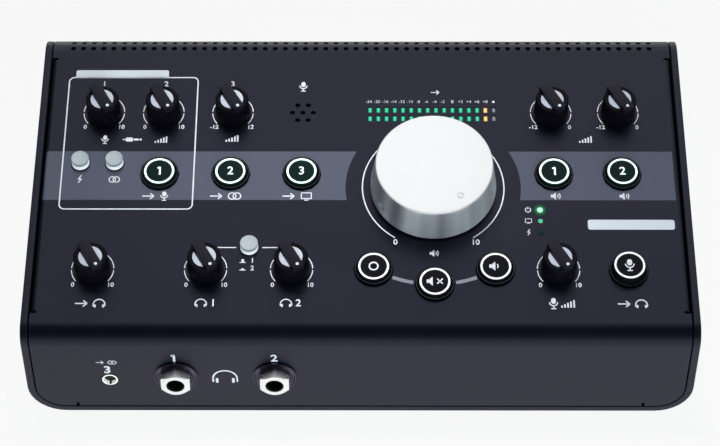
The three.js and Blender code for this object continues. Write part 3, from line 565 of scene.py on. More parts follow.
volumeMetal = {
    "metallic": 0.66,
    "top": shade(243, 241, 240),
    "topShade": shade(237, 239, 242),
    # The side's colour runs between the next two: the light and dark ends of its painted reflection strips
    "side": shade(250, 253, 255),
    "sidePaintedShade": shade(162, 164, 174),
    "sideTop": 16.6,
    "reflectionStrips": 3.0,
    "reflectionStripDetail": 0.6,
    "contrast": 2.9,
    "lines": 160.0,
    "lineStretch": 40.0,
    "smoothest": 0.3,
    "roughest": 0.44,
    "groove": 0.0012,
}
finishes = {
    "coverPaint": coverPaint(coatLook),
    "trayPaint": grained("tray_paint", shade(12, 11, 20), 0.38, spread=0.15, Specular_Tint=coatLook["sheen"]),
    # Knob body and bar are one black plastic in two shades: the bar's lighter, glossier copy is painted light
    # on its top, the body's darker one painted shade on its side
    "knobBlack": grained("knob_black", shade(8, 6, 14), 0.45, 4000.0, 0.006, Specular_IOR_Level=0.12),
    "knobBar": grained("knob_bar_painted_light", shade(20, 17, 29), 0.5, 4000.0, 0.006, Specular_IOR_Level=0.3),
    "knobInsert": grained("knob_insert", shade(196, 201, 213), 0.4, 3000.0, 0.006, 0.04),
    "buttonBlack": grained("button_black", shade(16, 15, 21), 0.4, 4000.0, 0.004, Specular_IOR_Level=0.08),
    # Lit caps: their dark green is painted light from the lamp under them, set in the base colour
    "buttonGreen": grained("button_lit_face", shade(13, 32, 27), 0.4, 4000.0, 0.004, Specular_IOR_Level=0.08),
    "bezelBlack": grained("bezel_black", shade(7, 7, 11), 0.25, 3000.0, 0.003, Specular_IOR_Level=0.2),
    # White plastic skirts of the push caps, with a faint glow painted on: painted light, as they hold no lamp
    "capWhiteGlow": grained("cap_white_glow", shade(253, 254, 255), 0.3, 3000.0, 0.004, 0.01,
                        Emission_Color=shade(255, 255, 255), Emission_Strength=0.22),
    "capSilver": grained("cap_silver", shade(180, 189, 194), 0.38, 3000.0, 0.004, 0.03, Metallic=0.35),
    "socketBlack": grained("socket_black", shade(24, 24, 27), 0.4, 2500.0, 0.006),
    "rubber": grained("rubber", shade(22, 22, 24), 0.75, 1800.0, 0.02),
    "boardGreen": grained("board_green", shade(22, 74, 46), 0.4, 700.0, 0.01),
    "clearGuide": grained("light_guide", shade(150, 205, 190), 0.2, 900.0, 0.002),
    "aluminium": turnedMetal("turned_aluminium", volumeMetal, volumeFoot, panelNormal),
    "nickel": plated("nickel", shade(255, 255, 253), 0.22, 0.8),
    # Ring of the mini socket: its near-white colour is a painted reflection on chrome, and its faint glow is
    # painted light
    "lipWhiteGlow": grained("lip_white_painted_glow", shade(246, 246, 242), 0.3, 3000.0, 0.002, 0.02, Metallic=0.3,
                        Emission_Color=shade(255, 255, 250), Emission_Strength=0.3),
    "steel": plated("steel", shade(186, 188, 192), 0.35),
    "brass": plated("brass", shade(206, 170, 98), 0.3),
    "blackSteel": plated("black_steel", shade(52, 52, 56), 0.4),
    "collarBlack": grained("collar_black", shade(92, 87, 103), 0.2, 3000.0, 0.002, Metallic=0.95),
    "boreBlack": grained("bore_black", shade(8, 8, 9), 0.6, 3000.0, 0.004),
    "inkWhite": printed("print_white", shade(228, 230, 235)),
    # A painted highlight: the thin grey ring on each bezel's top edge
    "paintedHighlightGrey": printed("painted_highlight_grey", shade(74, 76, 86)),
    "inkLink": printed("print_link", shade(132, 134, 146)),
    "inkPale": printed("print_pale", shade(216, 223, 231)),
    # White rings of the unlit buttons, with a faint glow: painted light, as their lamps are off
    "ringWhiteGlow": glowing("ring_white_painted_glow", shade(240, 242, 246), 0.35),
    "ringLit": glowing("ring_lit", shade(226, 255, 246), 0.62, shade(236, 250, 245)),
    "legendLit": glowing("legend_lit", shade(225, 250, 240), 0.6),
    "ledGreen": glowing("led_green", shade(36, 212, 156), 1.0, shade(20, 90, 70)),
    "ledGreenDeep": glowing("led_green_deep", shade(4, 66, 50), 1.0, shade(8, 34, 28)),
    "ledAmber": glowing("led_amber", shade(255, 214, 130), 1.0, shade(150, 110, 60)),
    "ledAmberDeep": glowing("led_amber_deep", shade(118, 70, 20), 1.0, shade(60, 40, 20)),
    "ledOff": grained("led_off", shade(124, 126, 136), 0.3, 2500.0, 0.003),
    "ledOffDeep": grained("led_off_deep", shade(30, 31, 38), 0.3, 2500.0, 0.003),
    "powerGreen": glowing("power_green", shade(196, 255, 226), 1.0, shade(60, 160, 110)),
    "linkGreen": glowing("link_green", shade(38, 196, 128), 1.0, shade(30, 120, 80)),
    "phantomOff": grained("phantom_off", shade(18, 58, 61), 0.6, 2500.0, 0.003, Specular_IOR_Level=0.08),
}
print("finishes are mixed")

# The carried-over CAD nodes, by the finish that each wears
worn = {
    "boardGreen": ["control_board", "connector_board"],
    "clearGuide": ["meter_light_guide", "status_light_guide"],
    "steel": ["talkback_mic", "volume_pot"] + [name for name in nodes if "shaft" in name],
}
for coat, names in worn.items():
    for name in names:
        nodes[name].data.materials.clear()
        nodes[name].data.materials.append(finishes[coat].material)

# Shells

shellLook = {
    "ventRounding": 0.42,
    "ventWall": 1.5,
    "ventZone": 118.0,
    "ventReach": 124.0,
    "wallPlay": 0.15,
    "wallLean": 0.02,
    "trayEdge": 0.5,
    "plateEdge": 0.1,
}


# The hexagonal vent holes are rounded by bevelling the edges of their walls
def roundVents(cover, look):
    toPanel = panelFrame.inverted()
    points = [toPanel @ vertex.co / mm for vertex in cover.data.vertices]

    def isVentEdge(edge):
        start, end = [points[i] for i in edge.vertices]
        run = end - start
        inZone = min(start.y, end.y) > look["ventZone"] and max(abs(start.x), abs(end.x)) < look["ventReach"]
        isWall = abs(run.x) < look["wallLean"] and abs(run.length - look["ventWall"]) < look["wallPlay"]
        return inZone and isWall

    alone(cover)
    editAll()
    pickEdges(cover, isVentEdge)
    bpy.ops.mesh.bevel(offset=look["ventRounding"] * mm, segments=2, affect="EDGES")
    editDone()


cover = dressed("top_cover", 0)
roundVents(cover, shellLook)
smooth(cover, 30)
applyModifier(cover, "WEIGHTED_NORMAL", keep_sharp=True, weight=carriedLook["weight"])
finish(cover, "folded_cover", "housing", "cover", "coverPaint", "top_cover")
tray = dressed("base_chassis", shellLook["trayEdge"], 3)
finish(tray, "tray", "housing", "tray", "trayPaint", "base_chassis")
backPlate = dressed("rear_panel", shellLook["plateEdge"])
finish(backPlate, "back_plate", "housing", "tray", "trayPaint", "rear_panel")

footLook = {"profile": [(5.6, 0), (6.2, 0.35), (6.8, 2.6), (7.0, 3.0)], "sides": 48}
footPattern = smooth(turned(footLook["profile"], footLook["sides"]), 30)
for name in sorted(name for name in nodes if name.startswith("foot_")):
    middle = middleOf(name, floorFrame)
    foot = copyTo(footPattern, place(floorFrame, middle.x, middle.y))
    finish(foot, name.replace("foot", "rubber_foot"), "housing", "rubber", "rubber", name)
discard(footPattern)
print("shells and feet are dressed")

# Small knobs

knobLook = {
    "body": [(6.85, 0.6), (7.1, 0.85), (7.1, 1.5), (7.0, 1.8), (6.68, 9.3), (6.45, 9.8), (6.15, 10.0),
             (4.95, 10.0), (4.8, 9.5)],
    "barWidth": 4.5,
    "barReach": 6.9,
    "barShift": -0.15,
    "barLow": 9.0,
    "barHigh": 11.9,
    "barEdge": 0.35,
    "insert": 4.62,
    "insertLow": 9.3,
    "insertHigh": 9.85,
    "insertGap": 0.25,
    "insertEdge": 0.12,
    "dot": [(0.64, 11.7), (0.64, 11.9), (0.448, 12.02)],
    "dotReach": 5.2,
    "turn": -150,
}
# Body of each small knob: its CAD node and the numbers at the two ends of its scale
smallKnobs = {
    "direct": ("direct_knob", "0", "10"),
    "gain_1": ("gain_knob_1", "0", "10"),
    "gain_2": ("gain_knob_2", "0", "10"),
    "input_trim": ("input_trim_knob", "-12", "12"),
    "output_trim_a": ("output_trim_knob_a", "-12", "0"),
    "output_trim_b": ("output_trim_knob_b", "-12", "0"),
    "phones_1": ("phones_knob_1", "0", "10"),
    "phones_2": ("phones_knob_2", "0", "10"),
    "talkback_level": ("talkback_knob", "0", "10"),
}
overrun = 1


# Pointer bar across the top, its ends rounded to the knob
def makeKnobBar(look):
    half, reach = look["barWidth"] / 2, look["barReach"]
    bar = block((-half, -reach - overrun, look["barLow"]), (half, reach + overrun, look["barHigh"]))
    drum = barrel(reach, look["barLow"] - overrun, look["barHigh"] + overrun, 64)
    bar = cut(bar, put(drum, place(floorFrame, 0, look["barShift"])), "INTERSECT")
    return rounded(bar, look["barEdge"], 3)


# Bright half discs on both sides of the bar
def makeKnobInserts(look):
    disc = barrel(look["insert"], look["insertLow"], look["insertHigh"], 64)
    half = look["barWidth"] / 2 + look["insertGap"]
    reach = look["insert"] + overrun
    low, high = look["insertLow"] - overrun, look["insertHigh"] + overrun
    disc = cut(disc, block((-half, -reach, low), (half, reach, high)))
    return rounded(disc, look["insertEdge"], 2)


def makeKnobDot(look):
    dot = turned(look["dot"], 24)
    alone(dot)
    editAll()
    bpy.ops.transform.translate(value=(0, look["dotReach"] * mm, 0))
    editDone()
    return smooth(dot, 50)


knobBody = smooth(turned(knobLook["body"], 64), 30)
knobBar = makeKnobBar(knobLook)
knobInserts = makeKnobInserts(knobLook)
knobDot = makeKnobDot(knobLook)
for body, (node, low, high) in smallKnobs.items():
    seat = seatOf(body)
    spot = place(panelFrame, seat.x, seat.y, 0, knobLook["turn"])
    finish(copyTo(knobBody, spot), body + "_cap", body, "knob", "knobBlack", node)
    # The bar wears the lighter copy of the knob's black: painted light
    finish(copyTo(knobBar, spot), body + "_bar", body, "knob", "knobBar")
    finish(copyTo(knobInserts, spot), body + "_inserts", body, "cap", "knobInsert")
    finish(copyTo(knobDot, spot), body + "_dot", body, "cap", "inkWhite")
discard(knobBody, knobBar, knobInserts, knobDot)
print("small knobs are turned")

# Volume knob

volumeLook = {
    "profile": [(24.4, 1.2), (25.1, 1.3), (25.3, 1.8), (25.22, 2.6),
                (23.5, 15.95), (23.4, 16.45), (23.15, 16.85), (22.75, 17.0)],
    "dimpleReach": 18.0,
    "dimple": [(0.25, -0.06), (0.75, -0.06), (1.0, -0.3), (1.3, -0.3), (1.55, 0.0), (1.55, 0.5)],
    "grubRadius": 2.0,
    "grubPlay": 0.25,
    "grubHeight": 6.4,
    "grubTurn": -91.6,
    "grubDepth": 3.4,
    "grubSunk": 0.95,
    "grubKey": 0.75,
    "grubEdge": 0.08,
    "turn": -146.2,
}


# The grub screw lies square to the knob's axis, in a bore low in its side
def grubSeat(look):
    turn, lean = math.radians(look["grubTurn"]), math.radians(-90)
    seat = Matrix.Rotation(turn, 4, "Z") @ Matrix.Rotation(lean, 4, "X")
    seat.translation = (0, 0, look["grubHeight"] * mm)
    return seat


def makeVolumeKnob(look):
    foot, top = look["profile"][2][0], look["profile"][-1][1]
    knob = turned(look["profile"], 160)
    dimple = turned(look["dimple"], 48)
    cut(knob, put(dimple, Matrix.Translation(Vector((0, look["dimpleReach"], top)) * mm)))
    bore = barrel(look["grubRadius"], foot - look["grubDepth"], foot + overrun, 24)
    cut(knob, put(bore, grubSeat(look)))
    smooth(knob, 25)
    return applyModifier(knob, "WEIGHTED_NORMAL", keep_sharp=True, weight=100)


def makeGrub(look):
    foot, key = look["profile"][2][0], look["grubKey"]
    low, high = foot - look["grubDepth"], foot - look["grubSunk"]
    grub = barrel(look["grubRadius"] - look["grubPlay"], low, high, 24)
    grub = cut(grub, turned([(key, foot - 2), (key, foot + overrun)], 6))
    return put(rounded(grub, look["grubEdge"], 2), grubSeat(look))


volumeSpot = place(panelFrame, volumeSeat.x, volumeSeat.y, 0, volumeLook["turn"])
volumeKnob = put(makeVolumeKnob(volumeLook), volumeSpot)
finish(volumeKnob, "volume_cap", "volume", "aluminium", "aluminium", "volume_knob")
finish(put(makeGrub(volumeLook), volumeSpot), "volume_grub_screw", "volume", "steel", "capSilver")
print("volume knob is turned")

# Round buttons and their bezels

buttonLook = {
    "cap": [(6.5, -4.3), (6.5, -0.45), (6.42, -0.2), (6.25, -0.04), (6.0, 0.0)],
    "ring": [(5.2, -0.1), (6.06, -0.1), (6.02, 0.05), (5.9, 0.1), (5.36, 0.1), (5.22, 0.05)],
    "bezel": [(6.75, -1.8), (7.1, -1.8), (7.1, 0.02), (7.45, 0.4), (7.64, 0.72), (7.68, 0.95), (7.6, 1.15),
              (7.4, 1.24), (7.05, 1.22), (6.85, 1.1), (6.77, 0.7)],
    # line: a thin grey ring on the bezel's top, a painted highlight
    "line": [(7.12, 1.1), (7.26, 1.1), (7.23, 1.27), (7.15, 1.27)],
}
# CAD node of each button: its body, if it is lit, its mark, and the moulding that its collar belongs to
buttons = {
    "source_button_1": ("source_1", True, "1", "left"),
    "source_button_2": ("source_2", True, "2", "left"),
    "source_button_3": ("source_3", True, "3", "left"),
    "speaker_button_a": ("speaker_a", True, "1", "right"),
    "speaker_button_b": ("speaker_b", True, "2", "right"),
    "mono_button": ("mono", False, "mono", "middle"),
    "mute_button": ("mute", False, "mute", "middle"),
    "dim_button": ("dim", False, "dim", "middle"),
    "talkback_button": ("talkback", False, "talk", "right"),
}
buttonCap, buttonRing = smooth(turned(buttonLook["cap"], 64), 30), smooth(ring(buttonLook["ring"]), 30)
bezelRing, bezelHighlight = smooth(ring(buttonLook["bezel"]), 30), smooth(ring(buttonLook["line"]), 30)
bezelSpots = {"left": [], "middle": [], "right": []}
buttonTops = {}
for name, (body, lit, mark, side) in buttons.items():
    middle = middleOf(name, panelFrame)
    spot = place(panelFrame, middle.x, middle.y, spanOf(name, panelFrame)[1].z)
    buttonTops[name] = spot
    # Lit caps wear the green that paints their lamp's light
    capCoat = "buttonGreen" if lit else "buttonBlack"
    finish(copyTo(buttonCap, spot), name + "_cap", body, "button", capCoat, name)
    # Unlit buttons' rings carry a faint painted glow
    finish(copyTo(buttonRing, spot), name + "_ring", body, "clear", "ringLit" if lit else "ringWhiteGlow")
    bezelSpots[side].append(place(panelFrame, middle.x, middle.y))
for side, spots in bezelSpots.items():
    rings = joined([copyTo(bezelRing, spot) for spot in spots])
    finish(rings, side + "_bezel_rings", "housing", "bezel", "bezelBlack", side + "_button_bezel")
    # Thin grey rings on the bezels' tops: painted highlights
    lines = joined([copyTo(bezelHighlight, spot) for spot in spots])
    finish(lines, side + "_bezel_highlights", "housing", "steel", "paintedHighlightGrey")
discard(buttonCap, buttonRing, bezelRing, bezelHighlight)
print("round buttons are set")

# Silver push caps

pushLook = {
    "cap": [(3.3, 1.5), (3.3, 2.5), (3.48, 2.62), (3.54, 2.8), (3.54, 3.5), (3.46, 3.72), (3.26, 3.8),
            (3.0, 3.74), (0.6, 3.72)],
    "skirt": [(2.0, -1.2), (3.58, -1.2), (3.58, 1.62), (3.5, 1.84), (3.3, 1.9), (2.0, 1.9)],
    # gap: a black ring in the hole round each skirt, painted shade for the hole's shadow
    "gap": [(3.62, -0.8), (3.98, -0.8), (3.98, 0.1), (3.85, 0.36), (3.66, 0.4)],
}
pushCap = smooth(turned(pushLook["cap"], 48), 30)
pushSkirt = smooth(ring(pushLook["skirt"], 48), 30)
pushGap = smooth(ring(pushLook["gap"], 48), 30)
pushGaps = []
for body in ("phantom_push", "pan_push", "phones_push"):
    name = body + "_button"
    middle = middleOf(name, panelFrame)
    spot = place(panelFrame, middle.x, middle.y)
    finish(copyTo(pushCap, spot), name + "_cap", body, "cap", "capSilver", name)
    # The skirt's white carries a faint painted glow
    finish(copyTo(pushSkirt, spot), name + "_skirt", body, "cap", "capWhiteGlow")
    pushGaps.append(copyTo(pushGap, spot))
# Black rings in the holes round the skirts: painted shade
finish(joined(pushGaps), "push_button_collars", "housing", "bezel", "bezelBlack")
discard(pushCap, pushSkirt, pushGap)
print("push caps are set")

# Meter and status lights

meterLook = {
    "columns": 16,
    "rows": 2,
    "pitch": 3.38,
    "rowPitch": 4.2,
    "up": 104.0,
    "lens": (2.0, 3.0, 0.5, 0.25),
    "lensLow": -0.8,
    "core": (1.22, 2.1, 0.2, 0.3),
    "coreLow": -0.35,
    "edge": 0.06,
    "labels": ("-24", "-20", "-16", "-14", "-12", "-10", "-8", "-6", "-4", "-2", "0", "+2", "+4", "+6", "+8"),
    "labelUp": 110.2,
    "labelHeight": 1.95,
    "labelShift": 0.5,
    "labelDot": 0.55,
}


def meterColumn(column):
    return volumeSeat.x + (column - (meterLook["columns"] - 1) / 2) * meterLook["pitch"]


def makeMeter(look):
    lens = rounded(roundedPlate(*look["lens"]), look["edge"], 2)
    core = rounded(roundedPlate(*look["core"]), look["edge"], 2)
    states = ["ledGreen"] * (look["columns"] - 2) + ["ledAmber", "ledOff"]
    for row in range(look["rows"]):
        for column, state in enumerate(states):
            x, y = meterColumn(column), look["up"] + (row - (look["rows"] - 1) / 2) * look["rowPitch"]
            label = f"{row + 1}_{column + 1}"
            lensSpot = place(panelFrame, x, y, look["lensLow"])
            finish(copyTo(lens, lensSpot), "meter_lens_" + label, "housing", "clear", state + "Deep")
            coreSpot = place(panelFrame, x, y, look["coreLow"])
            finish(copyTo(core, coreSpot), "meter_light_" + label, "housing", "clear", state)
    discard(lens, core)


makeMeter(meterLook)

statusLook = {
    "across": 71.55,
    "up": 52.3,
    "pitch": 5.3,
    "dome": [(1.0, -0.4), (1.0, 0.08), (0.84, 0.34), (0.48, 0.52), (0.12, 0.57)],
    "glowLow": -0.04,
    "glowHigh": 0.02,
    "glowCore": 0.3,
}
# From the lowest up: finish, radius, and how far and in what colour it lights the paint round it
statusLights = [
    ("phantomOff", 1.1, 0, None),
    ("linkGreen", 0.82, 1.8, shade(0, 80, 54)),
    ("powerGreen", 1.15, 3.6, shade(0, 128, 68)),
]


# Light spilt on the paint round a lamp, fading from its middle to its edge
def spiltLight(name, colour, middle, reach):
    coat = Finish(name, Base_Color=coatLook["top"], Roughness=0.5, Emission_Strength=1.0)
    away = coat.lengthOf(coat.vector("SUBTRACT", coat.coords(), middle))
    fade = coat.eased(away, reach * statusLook["glowCore"] * mm, reach * mm, 1.0, 0.0)
    return coat.set(Emission_Color=coat.blend(fade, (0, 0, 0, 1), colour), Alpha=fade)


statusDome = smooth(turned(statusLook["dome"], 32), 60)
for i, (colour, radius, reach, spill) in enumerate(statusLights):
    spot = place(panelFrame, statusLook["across"], statusLook["up"] + (i - 1) * statusLook["pitch"])
    dome = copyTo(statusDome, spot @ Matrix.Diagonal((radius, radius, 1, 1)))
    finish(dome, f"status_light_{i + 1}", "housing", "clear", colour)
    if spill:
        name = f"status_glow_{i + 1}"
        low, high = statusLook["glowLow"], statusLook["glowHigh"]
        halo = put(smooth(ring([(radius, low), (reach, low), (reach, high), (radius, high)], 48)), spot)
        finishes[name] = spiltLight(name, spill, spot.translation, reach)
        finish(halo, name, "housing", "clear", name)
discard(statusDome)
print("meter and status lights are lit")

# Printed marks: thin raised ink, made of bars, discs, arcs and numerals

inkLook = {"low": -0.06, "high": 0.03, "bold": 0.02}
inkThick = inkLook["high"] - inkLook["low"]
inkMiddle = (inkLook["high"] + inkLook["low"]) / 2


def inkBar(x1, y1, x2, y2, width=0.4, tips=0.45):
    run = Vector((x2 - x1, y2 - y1))
    bar = roundedPlate(run.length + width * tips, width, inkThick, width * tips, 3)
    turn = math.degrees(math.atan2(run.y, run.x))
    return put(bar, place(floorFrame, (x1 + x2) / 2, (y1 + y2) / 2, inkLook["low"], turn))


def inkDisc(x, y, radius, sides=28):
    return put(barrel(radius, inkLook["low"], inkLook["high"], sides), place(floorFrame, x, y))


# An open arc: a standing strip is spun from one turn, counted from the x axis, through the sweep
def inkArc(x, y, radius, start, sweep, width=0.4):
    bpy.ops.mesh.primitive_plane_add(size=mm, rotation=(math.radians(90), 0, 0))
    strip = bpy.context.object
    strip.scale = (width, inkThick, 1)
    put(strip, Matrix.Translation(Vector((radius, 0, inkMiddle)) * mm) @ strip.matrix_basis)
    editAll()
    steps = max(6, int(abs(sweep) / 5))
    bpy.ops.mesh.spin(steps=steps, angle=math.radians(-sweep), center=(0, 0, 0), axis=(0, 0, 1))
    closeUp()
    return put(strip, place(floorFrame, x, y, 0, start))


def inkRing(x, y, radius, width=0.4, sides=32):
    inner, outer = radius - width / 2, radius + width / 2
    low, high = inkLook["low"], inkLook["high"]
    band = ring([(inner, low), (outer, low), (outer, high), (inner, high)], sides)
    return put(band, place(floorFrame, x, y))


def inkNumber(text, x, y, height, bold=inkLook["bold"]):
    bpy.ops.object.text_add()
    label = bpy.context.object
    label.data.body = text
    label.data.size = height * mm
    label.data.offset = bold * height * mm
    label.data.resolution_u = 4
    label.data.align_x = "CENTER"
    label.data.align_y = "CENTER"
    label.data.extrude = inkThick / 2 * mm
    bpy.ops.object.convert(target="MESH")
    return put(bpy.context.object, place(floorFrame, x, y, inkMiddle))


# The numeral font has a bare stroke for one, so it gets its flag here
def inkOne(x, y, height, width):
    top = y + height * 0.36
    return [inkBar(x, y - height * 0.36, x, top, width, 0.1),
            inkBar(x - height * 0.2, top - height * 0.1, x, top, width * 0.85, 0.3)]


# Signs for what a control does, each about its own middle at a size of one. A bar has its two ends,
# width and tips, an arc its centre, radius, start, sweep and width, and a ring its centre, radius and width.
signs = {
    "plus": [("bar", -0.5, 0, 0.5, 0, 0.24), ("bar", 0, -0.5, 0, 0.5, 0.24)],
    "minus": [("bar", -0.5, 0, 0.5, 0, 0.24)],
    "microphone": [("bar", 0, 0.05, 0, 0.38, 0.36, 0.5), ("arc", 0, 0.1, 0.3, 180, 180, 0.09),
                   ("bar", 0, -0.22, 0, -0.42, 0.09), ("bar", -0.18, -0.45, 0.18, -0.45, 0.09)],
    "horn": [("bar", -0.42, 0, -0.3, 0, 0.3, 0.1), ("bar", -0.25, -0.13, -0.25, 0.13, 0.12, 0.1),
             ("bar", -0.14, -0.24, -0.14, 0.24, 0.12, 0.1), ("bar", -0.04, -0.34, -0.04, 0.34, 0.1, 0.1)],
    "headphones": [("arc", 0, -0.12, 0.42, 0, 180, 0.09),
                   ("bar", -0.42, -0.12, -0.42, -0.26, 0.09), ("bar", 0.42, -0.12, 0.42, -0.26, 0.09),
                   ("bar", -0.3, -0.14, -0.3, -0.34, 0.14), ("bar", 0.3, -0.14, 0.3, -0.34, 0.14)],
    "wideHeadphones": [("arc", 0, 0, 0.95, 0, 180, 0.144),
                       ("bar", -0.95, 0.04, -0.95, -0.4, 0.144), ("bar", 0.95, 0.04, 0.95, -0.4, 0.144),
                       ("bar", -0.64, 0.02, -0.64, -0.52, 0.21, 0.1),
                       ("bar", 0.64, 0.02, 0.64, -0.52, 0.21, 0.1)],
    "arrow": [("bar", -0.5, 0, 0.5, 0, 0.12), ("bar", 0.5, 0, 0.18, 0.28, 0.12),
              ("bar", 0.5, 0, 0.18, -0.28, 0.12)],
    "level": [("bar", 0.36 * step, -0.5, 0.36 * step, 0.125 + 0.1875 * step, 0.2, 0.1)
              for step in range(-2, 3)],
    "plug": [("bar", -0.6, 0, -0.05, 0, 0.42, 0.15), ("bar", 0.06, 0, 0.5, 0, 0.2, 0.1),
             ("bar", 0.62, 0, 0.74, 0, 0.2), ("bar", -0.9, 0, -0.6, 0, 0.12)],
    "bolt": [("bar", 0.14, 0.5, -0.2, -0.04, 0.13), ("bar", -0.2, -0.04, 0.2, 0.04, 0.13),
             ("bar", 0.2, 0.04, -0.14, -0.5, 0.13)],
    "pair": [("ring", -0.24, 0, 0.38, 0.12), ("ring", 0.24, 0, 0.38, 0.12)],
    "power": [("arc", 0, 0, 0.4, 120, 300, 0.13), ("bar", 0, 0.08, 0, 0.5, 0.13)],
    "screen": [("bar", -0.5, 0.34, 0.5, 0.34, 0.1), ("bar", -0.5, -0.34, 0.5, -0.34, 0.1),
               ("bar", -0.5, -0.34, -0.5, 0.34, 0.1), ("bar", 0.5, -0.34, 0.5, 0.34, 0.1),
               ("bar", -0.2, -0.52, 0.2, -0.52, 0.1)],
    "switchOut": [("bar", -0.5, -0.3, 0.5, -0.3, 0.16, 0.1), ("bar", 0, -0.3, 0, 0.3, 0.42, 0.1)],
    "switchIn": [("bar", -0.5, -0.3, 0.5, -0.3, 0.16, 0.1), ("bar", 0, -0.3, 0, 0, 0.42, 0.1)],
}
signs["quietSpeaker"] = signs["horn"] + [("arc", -0.04, 0, 0.24, -42, 84, 0.09)]
signs["speaker"] = signs["quietSpeaker"] + [("arc", -0.04, 0, 0.42, -42, 84, 0.09)]


def sign(kind, x, y, size):
    marks = []
    for stroke, *values in signs[kind]:
        right, up = x + values[0] * size, y + values[1] * size
        if stroke == "bar":
            endX, endY, width, *tips = values[2:]
            marks.append(inkBar(right, up, x + endX * size, y + endY * size, width * size, *tips))
        elif stroke == "arc":
            radius, start, sweep, width = values[2:]
            marks.append(inkArc(right, up, radius * size, start, sweep, width * size))
        else:
            radius, width = values[2:]
            marks.append(inkRing(right, up, radius * size, width * size))
    return marks


def inked(marks, face, name, body, coat):
    return finish(put(joined(marks), face), name, body, "cap", coat)


scaleLook = {
    "radius": 8.32,
    "width": 0.36,
    "gap": 3.0,
    "ends": 130.5,
    "endX": 7.4,
    "endY": -7.15,
    "number": 2.7,
}
panelLook = {
    "frame": (-120.69, 57.92, -67.39, 122.37),
    "frameCorner": 2.2,
    "frameLine": 0.55,
    "tabs": [(-117.69, 122.02, -80.09, 126.08), (90.81, 48.42, 124.41, 53.02)],
    "volumeArc": 28.45,
    "volumeEnds": 147,
    "volumeLine": 0.5,
    "linkWidth": 1.5,
    "linkTurn": 16.1,
    "linkSweep": 10.8,
    "pushLine": 0.45,
    "pushGap": 5.2,
    "pushEnds": (-56.5, -31.5),
}
panelNumbers = [
    ("0", volumeSeat.x - 15.3, volumeSeat.y - 26, 3.4), ("10", volumeSeat.x + 16.4, volumeSeat.y - 26, 3.4),
    ("1", -106.1, 119.0, 3.6), ("2", -80.5, 119.0, 3.6), ("3", -53.0, 119.0, 3.6),
    ("1", -57.4, 14.6, 4.4), ("2", -24.2, 14.6, 4.4), ("1", -42.6, 33.9, 3.0), ("2", -42.6, 30.4, 3.0),
]
panelSigns = [
    ("speaker", volumeSeat.x, volumeSeat.y - 31.1, 4.2), ("arrow", volumeSeat.x + 1.4, 114.9, 3.4),
    ("microphone", -23.8, 117.8, 5.0), ("microphone", -104.2, 91.4, 4.4), ("plug", -92.8, 91.4, 4.6),
    ("level", -81.4, 91.4, 3.1), ("level", -52.5, 92.0, 3.2), ("level", 91.4, 91.6, 3.2),
    ("bolt", -113.2, 72.2, 3.4), ("pair", -99.3, 72.0, 3.4),
    ("arrow", -85.2, 64.1, 4.6), ("microphone", -78.8, 64.1, 4.6), ("arrow", -58, 64.1, 4.6),
    ("pair", -50.6, 64.1, 4.0), ("arrow", -29, 64.1, 4.6), ("screen", -21.8, 64.3, 4.0),
    ("speaker", 78.2, 64.2, 4.6), ("speaker", 105.7, 64.2, 4.6),
    ("power", 66.8, 57.7, 2.7), ("screen", 66.8, 52.6, 2.5), ("bolt", 66.8, 47.2, 2.7),
    ("arrow", -108.8, 14.4, 4.6), ("headphones", -101.8, 14.6, 5.4), ("headphones", -62.2, 14.8, 5.2),
    ("headphones", -29.0, 14.8, 5.2), ("switchOut", -46.4, 33.8, 2.4), ("switchIn", -46.4, 30.3, 2.4),
    ("microphone", 75.2, 14.6, 5.2), ("level", 80.8, 14.4, 3.3),
    ("arrow", 102.6, 14.4, 4.6), ("headphones", 109.4, 14.6, 5.4),
]


def printKnobScales(look):
    marks = []
    gap, ends = look["gap"], look["ends"]
    for body, (node, low, high) in smallKnobs.items():
        seat = seatOf(body)
        for start, stop in ((-ends, -90 - gap), (-90 + gap, -gap), (gap, 90 - gap), (90 + gap, ends)):
            marks.append(inkArc(seat.x, seat.y, look["radius"], 90 + start, stop - start, look["width"]))
        for number, side in ((low, -1), (high, 1)):
            x, y = seat.x + side * look["endX"], seat.y + look["endY"]
            marks.append(inkNumber(number, x, y, look["number"]))
    return marks


# Rounded frame round the two microphone channels
def printFrame(look):
    left, low, right, high = look["frame"]
    corner, line = look["frameCorner"], look["frameLine"]
    marks = [inkBar(left + corner, y, right - corner, y, line) for y in (low, high)]
    marks += [inkBar(x, low + corner, x, high - corner, line) for x in (left, right)]
    for x, y, start in ((left + corner, low + corner, 180), (right - corner, low + corner, 270),
                        (right - corner, high - corner, 0), (left + corner, high - corner, 90)):
        marks.append(inkArc(x, y, corner, start, 90, line))
    return marks


def printMeterLabels(look):
    marks = []
    for column, label in enumerate(look["labels"]):
        x = meterColumn(column) - (look["labelShift"] if label.startswith("-") else 0)
        bold = 2 * inkLook["bold"] if label == "0" else 0
        marks.append(inkNumber(label, x, look["labelUp"], look["labelHeight"], bold))
    return marks + [inkDisc(meterColumn(len(look["labels"])), look["labelUp"], look["labelDot"])]


def printPanel(look):
    ends = look["volumeEnds"]
    marks = [inkArc(volumeSeat.x, volumeSeat.y, look["volumeArc"], 90 - ends, 2 * ends, look["volumeLine"])]
    marks += [inkNumber(*number) for number in panelNumbers]
    for entry in panelSigns:
        marks += sign(*entry)
    push = middleOf("phones_push_button", panelFrame)
    left, right = look["pushEnds"]
    for start, stop in ((left, push.x - look["pushGap"]), (push.x + look["pushGap"], right)):
        marks.append(inkBar(start, push.y, stop, push.y, look["pushLine"]))
    return marks


def printTabs(look):
    return [inkBar(left, (low + high) / 2, right, (low + high) / 2, high - low, 0.2)
            for left, low, right, high in look["tabs"]]


